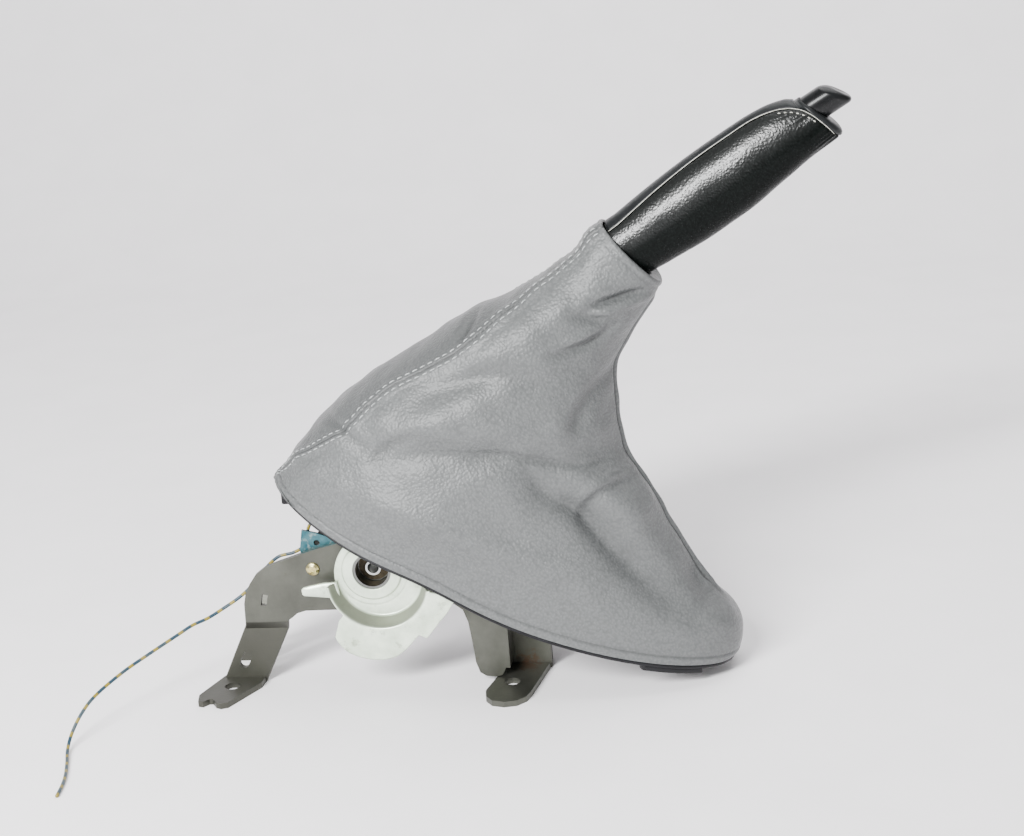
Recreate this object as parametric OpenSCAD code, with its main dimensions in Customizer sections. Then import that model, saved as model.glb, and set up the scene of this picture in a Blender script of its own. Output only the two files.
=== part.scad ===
// Parking brake lever with leather boot, millimetres, +Z up, +X towards the grip.
// The origin is the centre of the four floor bolts, on the floor.

/* [Floor bracket] */
// Distance between the rear and front floor bolts
bolt_spacing_x = 163; // [156:1:168]
// Distance between the near and far floor bolts
bolt_spacing_y = 56; // [52:1:62]
// Diameter of the floor bolt holes
bolt_hole_d = 9; // [8:0.1:10]
// Thickness of the pressed bracket plates
plate_thick = 3.5; // [3:0.1:4]
// Distance from the middle to the outer face of a bracket plate
plate_face = 22; // [21.5:0.1:24]

/* [Pivot] */
// Pivot position along the car
pivot_x = 7; // [5:0.5:9]
// Pivot height above the floor
pivot_z = 73; // [71:0.5:75]
// Outside radius of the hub cups that turn in the bushes
hub_r = 10.9; // [10.5:0.1:11.2]
// Wall of the hub cups
hub_wall = 1.5; // [1.2:0.1:1.8]
// Outside diameter of the hollow pivot tube
tube_d = 8.8; // [8:0.1:9.4]
// Bore of the hollow pivot tube
tube_bore_d = 6.6; // [6:0.1:7]
// Running clearance of the hubs in the bushes
run_clear = 0.05; // [0.03:0.01:0.08]

/* [Cable quadrant] */
// Radius of the quadrant's flat disc
disc_r = 26; // [24:0.5:27]
// Sheet thickness of the quadrant and of the lever plates
sheet = 2; // [1.6:0.1:2.2]
// Depth of the quadrant's rim, from disc to lip
rim_depth = 10; // [8:0.5:11]

/* [Ratchet] */
// Tip radius of the ratchet sector
sector_r = 46; // [45:0.5:47]
// Depth of the ratchet teeth
tooth_depth = 2.6; // [2:0.1:3]
// Angle between ratchet teeth
tooth_pitch = 4; // [3.5:0.5:5]
// Radius of the rivets through both plates
rivet_r = 3; // [2.5:0.1:3.2]

/* [Grip] */
// Angle of the grip above the floor
grip_angle = 31.2; // [30:0.2:32.4]
// Length of the leather grip
grip_length = 118; // [114:1:122]
// Half width of the grip at its thickest
grip_half_width = 16.5; // [15.5:0.1:17.5]
// Radius of the steel lever tube in the grip
lever_tube_r = 9; // [8.5:0.1:9.5]
// Travel of the push button
button_travel = 7; // [6:0.5:8]

/* [Boot] */
// Half length of the boot rim
rim_half_length = 127; // [123:1:130]
// Half width of the boot rim
rim_half_width = 48; // [46:1:50]
// Thickness of the boot leather
boot_thick = 1.4; // [1.2:0.1:1.8]
// Depth of the deepest fold of the boot
fold_depth = 5; // [3:0.5:6]

/* [Hidden] */
$fn = 48;
gap = 0.3;
touch = 0.02;
P = [pivot_x, pivot_z];
plate_in = plate_face - plate_thick;
hole_x = bolt_spacing_x / 2;
hole_y = bolt_spacing_y / 2;
web_x = hole_x - 1.5;
bend_r = plate_thick / 2;
bush_wall = 2;
bush_bore = hub_r + run_clear;
bush_r = bush_bore + bush_wall;
bush_flange = 1;
lever_in = plate_face + bush_flange + 1;
lever_out = lever_in + sheet;
disc_out = lever_out + sheet;
lip_out = disc_out + rim_depth;
hub_floor_in = plate_in - 2;
hub_floor_out = hub_floor_in + 2;
hub_inner_r = hub_r - hub_wall;
tube_r = tube_d / 2;
tube_end = hub_floor_out + 5;
sleeve_wall = 2;
S1 = [pivot_x - 35, pivot_z - 0.4];
S2 = [pivot_x + 35, pivot_z - 15];
spacer_r = 6;
sector_half = 2;
sector_root = sector_r - tooth_depth;
switch_sheet = 1.5;
arm_half = 11.1;
arm_angle = 51;
pin_angle = 60;
pin_r = 3;
pin_at = P + 62 * [cos(pin_angle), sin(pin_angle)];
pawl_half = 2.5;
rod_r = 2.5;
neck = [162, 247];
gx = cos(grip_angle);
gz = sin(grip_angle);
end_lean = 0.3;
button_h = 7.8;
button_w = 7.2;
button_up = 4.2;
rim_mid = 80;
wire_r = 0.95;

function pol(r, a) = P + r * [cos(a), sin(a)];
function along(s, n) = neck + s * [gx, gz] + n * [-gz, gx];
function rim_z(x) = 48.4 - 0.444 * (x - rim_mid) + 0.0011 * pow(x - rim_mid, 2)
    + 2.6 * exp(-pow((x - rim_mid + 36) / 30, 2));
function sgnpow(c, p) = sign(c) * pow(abs(c), p);
function mix(a, b, t) = a + (b - a) * t;

// Extrudes an XZ outline from y0 to y1.
module slab(y0, y1) {
    translate([0, y1, 0])
        rotate([90, 0, 0])
            linear_extrude(y1 - y0)
                children();
}

// A round bar along Y at an XZ point.
module bar(at, y0, y1, r) {
    translate([at[0], y1, at[1]])
        rotate([90, 0, 0])
            cylinder(r = r, h = y1 - y0);
}

// A tube along Y at an XZ point.
module pipe(at, y0, y1, r, bore) {
    difference() {
        bar(at, y0, y1, r);
        bar(at, y0 - 1, y1 + 1, bore);
    }
}

module in_grip() {
    translate([neck[0], 0, neck[1]])
        rotate([0, -grip_angle, 0])
            children();
}

// Closed skin over a list of equal rings.
module loft(rings) {
    n = len(rings[0]);
    m = len(rings);
    pts = [for (r = rings) for (p = r) p];
    sides = [for (i = [0 : m - 2]) for (j = [0 : n - 1])
        [i * n + j, i * n + (j + 1) % n, (i + 1) * n + (j + 1) % n, (i + 1) * n + j]];
    ends = [[for (j = [n - 1 : -1 : 0]) j], [for (j = [0 : n - 1]) (m - 1) * n + j]];
    polyhedron(pts, concat(sides, ends));
}

// Closed skin over a list of equal rings whose last ring joins the first.
module loop(rings) {
    n = len(rings[0]);
    m = len(rings);
    pts = [for (r = rings) for (p = r) p];
    polyhedron(pts, [for (i = [0 : m - 1]) for (j = [0 : n - 1])
        [i * n + j, i * n + (j + 1) % n, ((i + 1) % m) * n + (j + 1) % n, ((i + 1) % m) * n + j]]);
}

// Upper rear edge of the near and far bracket plates, the far one cut lower.
near_edge = [[pivot_x - 34, pivot_z + 11], [-48, 77], [-56, 74], [-62, 69.5], [-66, 64], [-69, 58], [-70.5, 52]];
far_edge = [[pivot_x - 34, pivot_z + 8], [-36, 72], [-45, 62], [-55, 55], [-63, 50], [-69, 46]];

// Outline of a bracket plate in XZ.
module plate_outline(edge) {
    polygon(concat([[pivot_x + 24, pivot_z + 3], [pivot_x + 20, pivot_z + 14], [pivot_x + 8, pivot_z + 22],
        [pivot_x - 4, pivot_z + 22], [pivot_x - 18, pivot_z + 15]],
        edge,
        [[-71, 41], [-46, 41], [-43, 43], [-40, 45.5], [-35, 47], [-16, 47.3], [44, 50], [51, 49],
        [55.5, 45.5], [58, 38], [59.5, 25], [60.5, 13], [62.5, 6.5], [66, 4.2], [71, 3.6], [75, 4.5], [77, 8],
        [web_x, 33], [web_x, 48], [76, 55], [68, 60], [54, 64], [38, 67]]));
}

// Foot seen from above, run from the leg to its outer end around one bolt hole; k scales its outer end.
module rear_foot_plan(leg_width, k) {
    difference() {
        polygon([[-hole_x - 7.5, -13], [-hole_x - 8 + leg_width, -13], [-hole_x - 9 + leg_width, -hole_y + 4],
            [-hole_x + 2.5, -hole_y - 21 * k], [-hole_x - 1.5 * k, -hole_y - 22.5 * k],
            [-hole_x - 4.5 * k, -hole_y - 21 * k], [-hole_x - 7.5 * k, -hole_y - 16.5 * k],
            [-hole_x - 9.5 * k, -hole_y - 16.5 * k], [-hole_x - 12.5 * k, -hole_y - 20 * k],
            [-hole_x - 15.5 * k, -hole_y - 19 * k], [-hole_x - 17 * k, -hole_y - 11 * k]]);
        translate([-hole_x, -hole_y])
            circle(d = bolt_hole_d);
    }
}

module front_foot_plan() {
    difference() {
        polygon([[hole_x - 4, 0], [hole_x + 20, 0], [hole_x + 12, -hole_y - 13], [hole_x + 10, -hole_y - 19],
            [hole_x + 5, -hole_y - 24], [hole_x - 2, -hole_y - 25.5], [hole_x - 9, -hole_y - 23.5],
            [hole_x - 13, -hole_y - 18], [hole_x - 14, -hole_y - 11]]);
        translate([hole_x, -hole_y])
            circle(d = bolt_hole_d);
    }
}

// Bend line of the leg, run along X.
module bend(x, y, z, h) {
    translate([x, y, z])
        rotate([0, 90, 0])
            cylinder(r = bend_r, h = h);
}

// Leg set in from the plate by a joggle and run down to the foot.
module rear_leg(leg_width) {
    difference() {
        union() {
            hull() {
                bend(-71, -plate_face + bend_r, 41, leg_width);
                bend(-72.5, -plate_face + bend_r + 4.2, 35.5, leg_width);
            }
            hull() {
                bend(-72.5, -plate_face + bend_r + 4.2, 35.5, leg_width);
                bend(-hole_x - 7.5, -13 - bend_r, bend_r, leg_width - 0.5);
            }
        }
        translate([-hole_x + 5, -25, 12])
            rotate([0, -62, 0])
                slab(-10, 15)
                    hull() {
                        circle(r = 2.6);
                        translate([7, 0])
                            circle(r = 2.6);
                    }
    }
}

module bracket(edge, slot_width, leg_width, k) {
    slab(-plate_face, -plate_in)
        difference() {
            plate_outline(edge);
            translate(P)
                circle(r = bush_r + touch);
            translate(S1)
                circle(r = rivet_r + touch);
            translate(S2)
                circle(r = rivet_r + touch);
            if (slot_width > 0)
                translate([-58.5, 54])
                    rotate(78)
                        square([7, slot_width], center = true);
        }
    rear_leg(leg_width);
    linear_extrude(plate_thick)
        rear_foot_plan(leg_width, k);
    // the front foot steps in to the middle, where the two brackets are welded back to back
    translate([web_x - plate_thick, -plate_face, 9])
        cube([plate_thick, plate_face, 30]);
    translate([web_x - plate_thick, -plate_thick, 0])
        cube([21.5 + plate_thick, plate_thick, 25]);
    linear_extrude(plate_thick)
        front_foot_plan();
}

module near_bracket() {
    color([0.50, 0.50, 0.47])
        bracket(near_edge, 3.4, 25, 1);
}

module far_bracket() {
    color([0.50, 0.50, 0.47])
        mirror([0, 1, 0])
            bracket(far_edge, 0, 20, 0.6);
}

module spacers() {
    color([0.62, 0.63, 0.62]) {
        pipe(S1, -plate_in + switch_sheet, -sector_half, spacer_r, rivet_r + touch);
        pipe(S1, sector_half, plate_in, spacer_r, rivet_r + touch);
        pipe(S2, -plate_in, -sector_half, spacer_r, rivet_r + touch);
        pipe(S2, sector_half, plate_in, spacer_r, rivet_r + touch);
    }
}

// One rivet: shank and two domed heads.
module rivet_at(at) {
    translate([at[0], 0, at[1]])
        rotate([90, 0, 0])
            rotate_extrude()
                polygon([[0, -plate_face - 2.3], [2.2, -plate_face - 1.9], [3.6, -plate_face - 0.9],
                    [4, -plate_face], [rivet_r, -plate_face], [rivet_r, plate_face], [4, plate_face],
                    [3.6, plate_face + 0.9], [2.2, plate_face + 1.9], [0, plate_face + 2.3]]);
}

module bracket_rivets() {
    color([0.78, 0.72, 0.45]) {
        rivet_at(S1);
        rivet_at(S2);
    }
}

module ratchet_sector() {
    first = 44;
    teeth = floor(56 / tooth_pitch);
    saw = [for (i = [0 : teeth - 1]) for (k = [0, 1])
        k == 0 ? pol(sector_root, first + i * tooth_pitch) : pol(sector_r, first + i * tooth_pitch + 0.5)];
    color([0.42, 0.42, 0.43])
        slab(-sector_half, sector_half)
            difference() {
                union() {
                    polygon(concat(saw, [pol(sector_root, first + teeth * tooth_pitch), pol(40, 120),
                        S1 + [-8, 3], S1 + [-7, -6], S1 + [4, -8], pol(18, 225), pol(18, 270),
                        S2 + [-3, -8], S2 + [8, -3], S2 + [7, 6], pol(40, 30)]));
                }
                translate(P)
                    circle(r = tube_r + sleeve_wall + 1.6);
                translate(S1)
                    circle(r = rivet_r + touch);
                translate(S2)
                    circle(r = rivet_r + touch);
            }
}

module bush() {
    pipe(P, -plate_face - touch, -plate_in, bush_r, bush_bore);
    pipe(P, -plate_face - bush_flange, -plate_face, bush_r + 1.5, bush_bore);
}

module pivot_bushes() {
    color([0.10, 0.10, 0.11]) {
        bush();
        mirror([0, 1, 0])
            bush();
    }
}

module switch_bracket() {
    color([0.47, 0.64, 0.68]) {
        slab(-plate_in, -plate_in + switch_sheet)
            difference() {
                polygon([S1 + [-6, -6], S1 + [6, -6], [-13, 84], [-5, 90], [-5, 96], [-16, 96], [-17, 90],
                    [-25, 93], [-33, 95], [-35, 84], S1 + [-7, 2]]);
                translate(S1)
                    circle(r = rivet_r + touch);
                translate([-25, 87])
                    circle(r = 1.7);
            }
    }
}

module switch_body() {
    color([0.06, 0.06, 0.07])
        difference() {
            translate([-22, -plate_in + switch_sheet, 91.5])
                cube([16, 11, 13]);
            translate([-13.4, -9, 85])
                cylinder(r = 2.3, h = 12.5);
        }
}

module switch_plunger() {
    color([0.82, 0.80, 0.74])
        translate([-13.4, -9, 88.1])
            cylinder(r = 2, h = 5.4);
}

// Route of the wire from the switch, behind the plate corner, down to the floor and its cut end.
wire_at = [[-22.1, -10, 97], [-27, -10, 97.5], [-30.5, -10, 94], [-32.5, -10, 88], [-35, -10.5, 82],
    [-41, -11, 78.5], [-50, -12, 76.5], [-58, -13, 70], [-66, -14, 61], [-74, -15.5, 54], [-84, -20, 48.5],
    [-92, -25, 45], [-100, -30, 43], [-108, -36, 39.5], [-121, -47, 34], [-134, -60, 28.5], [-146, -74, 21.5],
    [-152, -83, 15], [-156, -91, 7], [-156, -100, 2], [-152, -113, 1], [-148, -127, 1], [-146, -138, 1],
    [-145, -149, 1]];
function cat(p, t) = 0.5 * (2 * p[1] + (p[2] - p[0]) * t + (2 * p[0] - 5 * p[1] + 4 * p[2] - p[3]) * t * t
    + (3 * p[1] - p[0] - 3 * p[2] + p[3]) * t * t * t);
function wp(i) = wire_at[max(0, min(len(wire_at) - 1, i))];
function unit(v) = v / norm(v);

module signal_wire() {
    mid = [for (i = [0 : len(wire_at) - 2]) for (t = [0, 1 / 3, 2 / 3])
        cat([wp(i - 1), wp(i), wp(i + 1), wp(i + 2)], t)];
    path = concat(mid, [wp(len(wire_at) - 1)]);
    m = len(path);
    rings = [for (i = [0 : m - 1])
        let (d = unit(path[min(m - 1, i + 1)] - path[max(0, i - 1)]),
            a = unit(cross(d, [0.3, 0.9, 0.3])),
            b = cross(d, a))
        [for (k = [0 : 7]) path[i] + wire_r * (cos(45 * k) * a + sin(45 * k) * b)]];
    color([0.12, 0.22, 0.55])
        loft(rings);
}

// Plan of the boot rim at parameter angle a, drawn in by d.
function rim_xy(a, d) = [rim_mid + (rim_half_length - d) * sgnpow(cos(a), 0.78),
    (rim_half_width - d) * sgnpow(sin(a), 0.78)];
function rim_pt(a, d, h) = let (q = rim_xy(a, d)) [q[0], q[1], rim_z(q[0]) + h];

module boot_frame() {
    color([0.05, 0.05, 0.06]) {
        loop([for (i = [0 : 63]) let (a = -i * 360 / 64)
            [rim_pt(a, 0, -gap - 2.1), rim_pt(a, 5.5, -gap - 2.1), rim_pt(a, 5.5, -gap),
                rim_pt(a, 0, -gap)]]);
        // peg under the rear tip
        translate([rim_mid - rim_half_length + 0.5, -3, rim_z(rim_mid - rim_half_length + 3) - 8])
            cube([4.5, 6, 7]);
        // clips under the front corners
        for (b = [34, 302])
            loft([for (i = [0 : 6]) let (a = b + i * 4)
                [rim_pt(a, 1.2, -gap - 5.5), rim_pt(a, 1.2, -gap - 1), rim_pt(a, 4.6, -gap - 1),
                    rim_pt(a, 4.6, -gap - 5.5)]]);
    }
}

// Rear and front profile of the boot, and its half width, from rim (0) to neck (1).
function rear_x(v) = lookup(v, [[0, rim_mid - rim_half_length], [0.1, rim_mid - rim_half_length + 2],
    [0.2, -35], [0.3, -15], [0.4, 11], [0.5, 42], [0.6, 69], [0.7, 93], [0.8, 111], [0.9, neck[0] - 31],
    [0.95, neck[0] - 24.8], [1, neck[0] - 16.6]]);
rear_low = rim_z(rim_mid - rim_half_length);
front_low = rim_z(rim_mid + rim_half_length);
function rear_z(v) = v > 0.8
    ? lookup(v, [[0.8, mix(rear_low, neck[1], 0.8795)], [0.9, neck[1] - 1], [0.95, neck[1] + 7.6], [1, neck[1] + 13.2]])
    : mix(rear_low, neck[1], lookup(v, [[0, 0], [0.1, 0.068], [0.2, 0.1365], [0.3, 0.301], [0.4, 0.458],
        [0.5, 0.598], [0.6, 0.727], [0.7, 0.799], [0.8, 0.8795]]));
function front_x(v) = lookup(v, [[0, rim_mid + rim_half_length], [0.1, rim_mid + rim_half_length + 4.5],
    [0.2, 195.5], [0.3, 178], [0.4, 164], [0.5, 151.5], [0.6, 147.8], [0.7, 148.5], [0.8, 155.5],
    [0.9, neck[0] + 4], [1, neck[0] + 14.5]]);
function front_z(v) = v > 0.8
    ? lookup(v, [[0.8, mix(front_low, neck[1], 0.7808)], [0.9, neck[1] - 37], [1, neck[1] - 21]])
    : mix(front_low, neck[1], lookup(v, [[0, 0], [0.1, 0.1444], [0.2, 0.1739], [0.3, 0.2919], [0.4, 0.4099],
        [0.5, 0.5111], [0.6, 0.6249], [0.7, 0.7176], [0.8, 0.7808]]));
function boot_w(v) = lookup(v, [[0, rim_half_width], [0.1, rim_half_width], [0.2, rim_half_width - 1],
    [0.4, rim_half_width - 5], [0.6, 36], [0.8, 26], [0.9, 21.5], [1, 18.4]]);

// Main folds of each side: a shallow and a deep valley as lines of XZ points, and bulges as X, Z, height, half sizes.
near_folds = [[[14, 149], [47, 147], [77, 144], [103, 140], [126, 135], [146, 134]],
    [[103, 129], [125, 110], [134, 101], [158, 68], [184, 44]],
    [[46, 116, 4, 46, 20], [60, 168, 3.4, 40, 15]]];
far_folds = [[[10, 142], [44, 139], [80, 141], [112, 136], [144, 128]],
    [[96, 118], [120, 104], [146, 78], [178, 50]],
    [[52, 112, 3.6, 46, 20], [66, 164, 3, 38, 15]]];
function piece_gap(q, a, b) = let (t = max(0, min(1, (q - a) * (b - a) / ((b - a) * (b - a)))))
    norm(q - a - t * (b - a));
function line_gap(q, l) = min([for (i = [0 : len(l) - 2]) piece_gap(q, l[i], l[i + 1])]);
function hump(q, b) = b[2] * exp(-pow((q[0] - b[0]) / b[3], 2) - pow((q[1] - b[1]) / b[4], 2));
function side_lift(q, f) = hump(q, f[2][0]) + hump(q, f[2][1])
    - 0.75 * fold_depth * exp(-pow(line_gap(q, f[0]) / 8, 2)) - fold_depth * exp(-pow(line_gap(q, f[1]) / 8.5, 2));

function boot_ring(v, d) = let (
        r = [rear_x(v), rear_z(v)],
        f = [front_x(v), front_z(v)],
        l = norm(f - r),
        u = (f - r) / l,
        p = mix(0.78, 0.95, min(1, v * 2)))
    [for (k = [0 : 39]) let (
            a = -k * 9,
            s = l / 2 + (l / 2 - d) * sgnpow(cos(a), p),
            lean = 1 - 0.25 * min(1, v * 3) * min(1, (1 - v) * 4) * cos(a),
            y = (boot_w(v) - d) * sgnpow(sin(a), p) * lean,
            q = r + u * s,
            h = v < 0.001 ? rim_z(q[0]) : mix(rim_z(q[0]), q[1], min(1, v * 5)),
            free = min(1, v * 7) * min(1, (1 - v) * 6) * min(1, abs(y) / 12))
        [q[0], y + sign(y) * free * side_lift([q[0], h], y < 0 ? near_folds : far_folds), h]];

module boot() {
    n = 20;
    outer = [for (i = [0 : n]) boot_ring(i / n, 0)];
    inner = [for (i = [n : -1 : 0]) boot_ring(i / n, boot_thick)];
    color([0.58, 0.60, 0.61])
        loop(concat(outer, inner));
}

// Lower, stepped and upper part of a lever plate, on the near side.
module lever_plate() {
    up = [cos(arm_angle), sin(arm_angle)];
    left = [-sin(arm_angle), cos(arm_angle)];
    slab(-lever_out, -lever_in)
        difference() {
            union() {
                translate(P)
                    circle(r = 20);
                polygon([P + 18 * left, P + 31 * up + 17 * left, P + 31 * up - 17 * left, P - 18 * left]);
            }
            translate(P)
                circle(r = hub_r + touch);
        }
    hull() {
        slab(-lever_out, -lever_in)
            polygon([P + 30 * up + 17 * left, P + 31 * up + 17 * left, P + 31 * up - 17 * left,
                P + 30 * up - 17 * left]);
        slab(-arm_half - sheet, -arm_half)
            polygon([P + 52 * up + 16 * left, P + 53 * up + 16 * left, P + 53 * up - 16 * left,
                P + 52 * up - 16 * left]);
    }
    slab(-arm_half - sheet, -arm_half)
        difference() {
            polygon([P + 52 * up + 16 * left, P + 98 * up + 14 * left, along(-62, 6), along(-52, 8), along(-14, 8),
                along(-14, -8), along(-52, -8), P + 100 * up - 14 * left, P + 52 * up - 16 * left]);
            translate(pin_at)
                circle(r = pin_r + touch);
            translate(along(-24, 0))
                circle(r = rivet_r + touch);
            translate(along(-42, 0))
                circle(r = rivet_r + touch);
        }
}

module near_lever_plate() {
    color([0.80, 0.83, 0.80])
        lever_plate();
}

module far_lever_plate() {
    color([0.80, 0.83, 0.80])
        mirror([0, 1, 0])
            lever_plate();
}

module cable_quadrant() {
    c = P + [4.5, -2.7];
    color([0.84, 0.88, 0.85]) {
        // flat disc against the lever plate, with a low step round the hub
        slab(-disc_out, -lever_out)
            difference() {
                translate(c)
                    circle(r = disc_r);
                translate(P)
                    circle(r = hub_r + touch);
            }
        pipe(P, -disc_out - 0.6, -disc_out + 0.4, hub_r + 7.6, hub_r + 1);
        // dished rim from the disc to the lip
        translate([c[0], -disc_out, c[1]])
            rotate([90, 0, 0])
                rotate([0, 0, 186])
                    rotate_extrude(angle = 161)
                        polygon([[disc_r - 2.6, -1], [disc_r - 0.6, -1], [disc_r + 4, rim_depth - 0.6],
                            [disc_r + 2, rim_depth - 0.6]]);
        // lip with the cable lobe and the wing
        slab(-lip_out, -lip_out + sheet)
            difference() {
                polygon([pol(32, 233), pol(36, 235.5), pol(42.5, 238), pol(45.6, 243.5), pol(48.2, 250),
                    pol(49.6, 258), pol(50.4, 267), pol(50.7, 275), pol(50, 283), pol(47.6, 290.5), pol(44.8, 299),
                    pol(43.3, 306), pol(47.6, 309), pol(46.8, 316), pol(46.6, 324), pol(48.7, 338), pol(50, 345),
                    pol(33, 342)]);
                translate(c)
                    circle(r = disc_r + 2.6);
            }
        // tongue over the bracket plate
        slab(-disc_out - 4, -disc_out - 2)
            polygon([P + [-20, -5.6], P + [-37, -6.3], P + [-39.6, -7.4], P + [-40.6, -9.4], P + [-40.2, -11.6],
                P + [-38, -13.4], P + [-27, -14], P + [-18.5, -15]]);
    }
}

module hub_cup() {
    pipe(P, -disc_out, -hub_floor_in, hub_r, hub_inner_r);
    pipe(P, -hub_floor_out, -hub_floor_in, hub_inner_r + touch, tube_r + touch);
}

module hub_cups() {
    color([0.72, 0.74, 0.73]) {
        hub_cup();
        mirror([0, 1, 0])
            hub_cup();
    }
}

module pivot_tube() {
    color([0.66, 0.67, 0.68])
        pipe(P, -tube_end, tube_end, tube_r, tube_bore_d / 2);
}

module pivot_sleeve() {
    color([0.55, 0.56, 0.57])
        pipe(P, -hub_floor_in, hub_floor_in, tube_r + sleeve_wall, tube_r + touch);
}

module pivot_washer() {
    color([0.50, 0.40, 0.26])
        pipe(P, -hub_floor_out - 1, -hub_floor_out, hub_inner_r - 0.6, tube_r + touch);
}

module switch_cam() {
    color([0.70, 0.72, 0.71])
        slab(-11, -8)
            difference() {
                union() {
                    translate(P)
                        circle(r = 10);
                    polygon([pol(9, 130), pol(25, 168), pol(27, 172), pol(25, 178), pol(9, 220)]);
                }
                translate(P)
                    circle(r = tube_r + sleeve_wall + touch);
            }
}

module lever_tube() {
    color([0.30, 0.30, 0.31])
        in_grip()
            difference() {
                translate([-62, 0, 0])
                    rotate([0, 90, 0])
                        cylinder(r = lever_tube_r, h = 152);
                translate([-63, 0, 0])
                    rotate([0, 90, 0])
                        cylinder(r = lever_tube_r - 1.5, h = 154);
                for (s = [-24, -42])
                    translate([s, 20, 0])
                        rotate([90, 0, 0])
                            cylinder(r = rivet_r + touch, h = 40);
            }
}

module tube_rivets() {
    color([0.62, 0.63, 0.62])
        for (s = [-24, -42]) {
            pipe(along(s, 0), -arm_half - sheet - 1.5, -lever_tube_r + 1, rivet_r, 1);
            pipe(along(s, 0), lever_tube_r - 1, arm_half + sheet + 1.5, rivet_r, 1);
        }
}

module pawl_pin() {
    color([0.62, 0.63, 0.62])
        bar(pin_at, -arm_half - sheet - 1, arm_half + sheet + 1, pin_r);
}

// Half heights above and below the grip axis, and half width, along the grip.
function grip_up(s) = lookup(s / grip_length, [[0, 18], [0.2, 20.4], [0.4, 22], [0.6, 22.6], [0.75, 22.4],
    [0.88, 20.8], [0.95, 18.6], [1, 16.2]]);
function grip_dn(s) = lookup(s / grip_length, [[0, 18], [0.2, 19.6], [0.4, 19.8], [0.55, 18.8], [0.7, 16.5],
    [0.85, 13.8], [1, 12.6]]);
function grip_w(s) = grip_half_width * lookup(s / grip_length, [[0, 0.9], [0.2, 0.97], [0.45, 1], [0.65, 0.97],
    [0.85, 0.85], [1, 0.7]]);
// Slant of the sections towards the button end, and the places of the grip's sections.
function grip_lean(s) = lookup(s / grip_length, [[0.72, 0], [1, end_lean]]);
function grip_at(i) = -8 + i * (grip_length + 7.7) / 18;
function grip_pt(s, a, d) = let (n = (sin(a) > 0 ? grip_up(s) - d : grip_dn(s) - d) * sin(a))
    [s - grip_lean(s) * n, (grip_w(s) - d) * cos(a), n];
function grip_ring(s, d) = [for (k = [0 : 31]) grip_pt(s, k * 11.25, d)];

module grip_core() {
    color([0.08, 0.08, 0.08])
        in_grip()
            difference() {
                loft([for (i = [0 : 14]) grip_ring(2 + i * (grip_length - 14) / 14, 1.9)]);
                translate([-5, 0, 0])
                    rotate([0, 90, 0])
                        cylinder(r = lever_tube_r + touch, h = grip_length);
            }
}

module grip_leather() {
    n = 18;
    color([0.07, 0.075, 0.075])
        in_grip()
            loop(concat([for (i = [0 : n]) grip_ring(grip_at(i), 0)],
                [for (i = [n : -1 : 0]) grip_ring(grip_at(i), 1.6)]));
}

// Smooth strip let in along the top of the grip.
module grip_top_strip() {
    under = [56.25, 67.5, 78.75, 90, 101.25, 112.5, 123.75];
    over = [[123.75, 1], [112.5, 1.5], [101.25, 1.7], [90, 1.8], [78.75, 1.7], [67.5, 1.5], [56.25, 1]];
    strip = [for (i = [2 : 16])
        concat([for (a = under) grip_pt(grip_at(i), a, -gap)],
            [for (q = over) grip_pt(grip_at(i), q[0], -q[1])])];
    color([0.09, 0.09, 0.095])
        in_grip()
            loft(strip);
}

// Oval section across the grip, raised by up and slanted by lean.
function oval(s, h, w, up, lean) = [for (k = [0 : 31]) let (a = k * 11.25, n = h * sgnpow(sin(a), 0.85))
    [s - lean * (n + up), w * sgnpow(cos(a), 0.85), up + n]];

module end_bezel() {
    s = grip_length;
    hole_h = button_h + 0.4;
    hole_w = button_w + 0.4;
    color([0.05, 0.05, 0.05])
        in_grip()
            loop([oval(s - 7, hole_h + 2.2, hole_w + 1, button_up - 1.2, end_lean),
                oval(s + 0.1, hole_h + 2.2, hole_w + 1, button_up - 1.2, end_lean),
                oval(s + 0.2, 14, 11.5, 1.8, end_lean), oval(s + 2.6, 13.8, 11.3, 1.8, end_lean),
                oval(s + 3.4, 13, 10.5, 1.8, end_lean), oval(s + 3.4, hole_h, hole_w, button_up, end_lean),
                oval(s - 7, hole_h, hole_w, button_up, end_lean)]);
}

module push_button() {
    s = grip_length + 0.5 * button_up;
    color([0.04, 0.04, 0.045])
        in_grip()
            loft([oval(grip_length - 4.5, button_h, button_w, button_up, 0),
                oval(s + 9.5, button_h, button_w, button_up, 0.5),
                oval(s + 11.6, button_h - 0.5, button_w - 0.5, button_up, 0.5),
                oval(s + 13.4, button_h - 1.9, button_w - 1.9, button_up, 0.5),
                oval(s + 14.2, button_h - 4, button_w - 4, button_up, 0.5)]);
}

// A round bar between two points.
module strut(a, b, r) {
    d = b - a;
    translate(a)
        rotate([0, acos(d[2] / norm(d)), atan2(d[1], d[0])])
            cylinder(r = r, h = norm(d));
}

module push_rod() {
    knee = along(-66, 3);
    color([0.60, 0.61, 0.62]) {
        in_grip()
            translate([-66, 0, 3])
                rotate([0, 90, 0])
                    cylinder(r = rod_r, h = grip_length - 4.5 + 66);
        translate([knee[0], 0, knee[1]])
            sphere(r = rod_r + 0.4);
        // cranked end beside the pawl tail
        strut([knee[0], 0, knee[1]], [pin_at[0] + 24, 6, pin_at[1] + 16], rod_r);
    }
}

module pawl() {
    color([0.46, 0.46, 0.47])
        difference() {
            union() {
                bar(pin_at, -pawl_half, pawl_half, 6.5);
                slab(-pawl_half, pawl_half)
                    polygon([pin_at + [24, 16], pin_at + [-1, 5], pol(sector_r + 6, 79), pol(sector_r + 0.5, 77),
                        pol(sector_r + 1.2, 72.5), pin_at + [-1, -5], pin_at + [2, -5], pin_at + [26, 10]]);
            }
            bar(pin_at, -pawl_half - 1, pawl_half + 1, pin_r + run_clear);
        }
}

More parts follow.
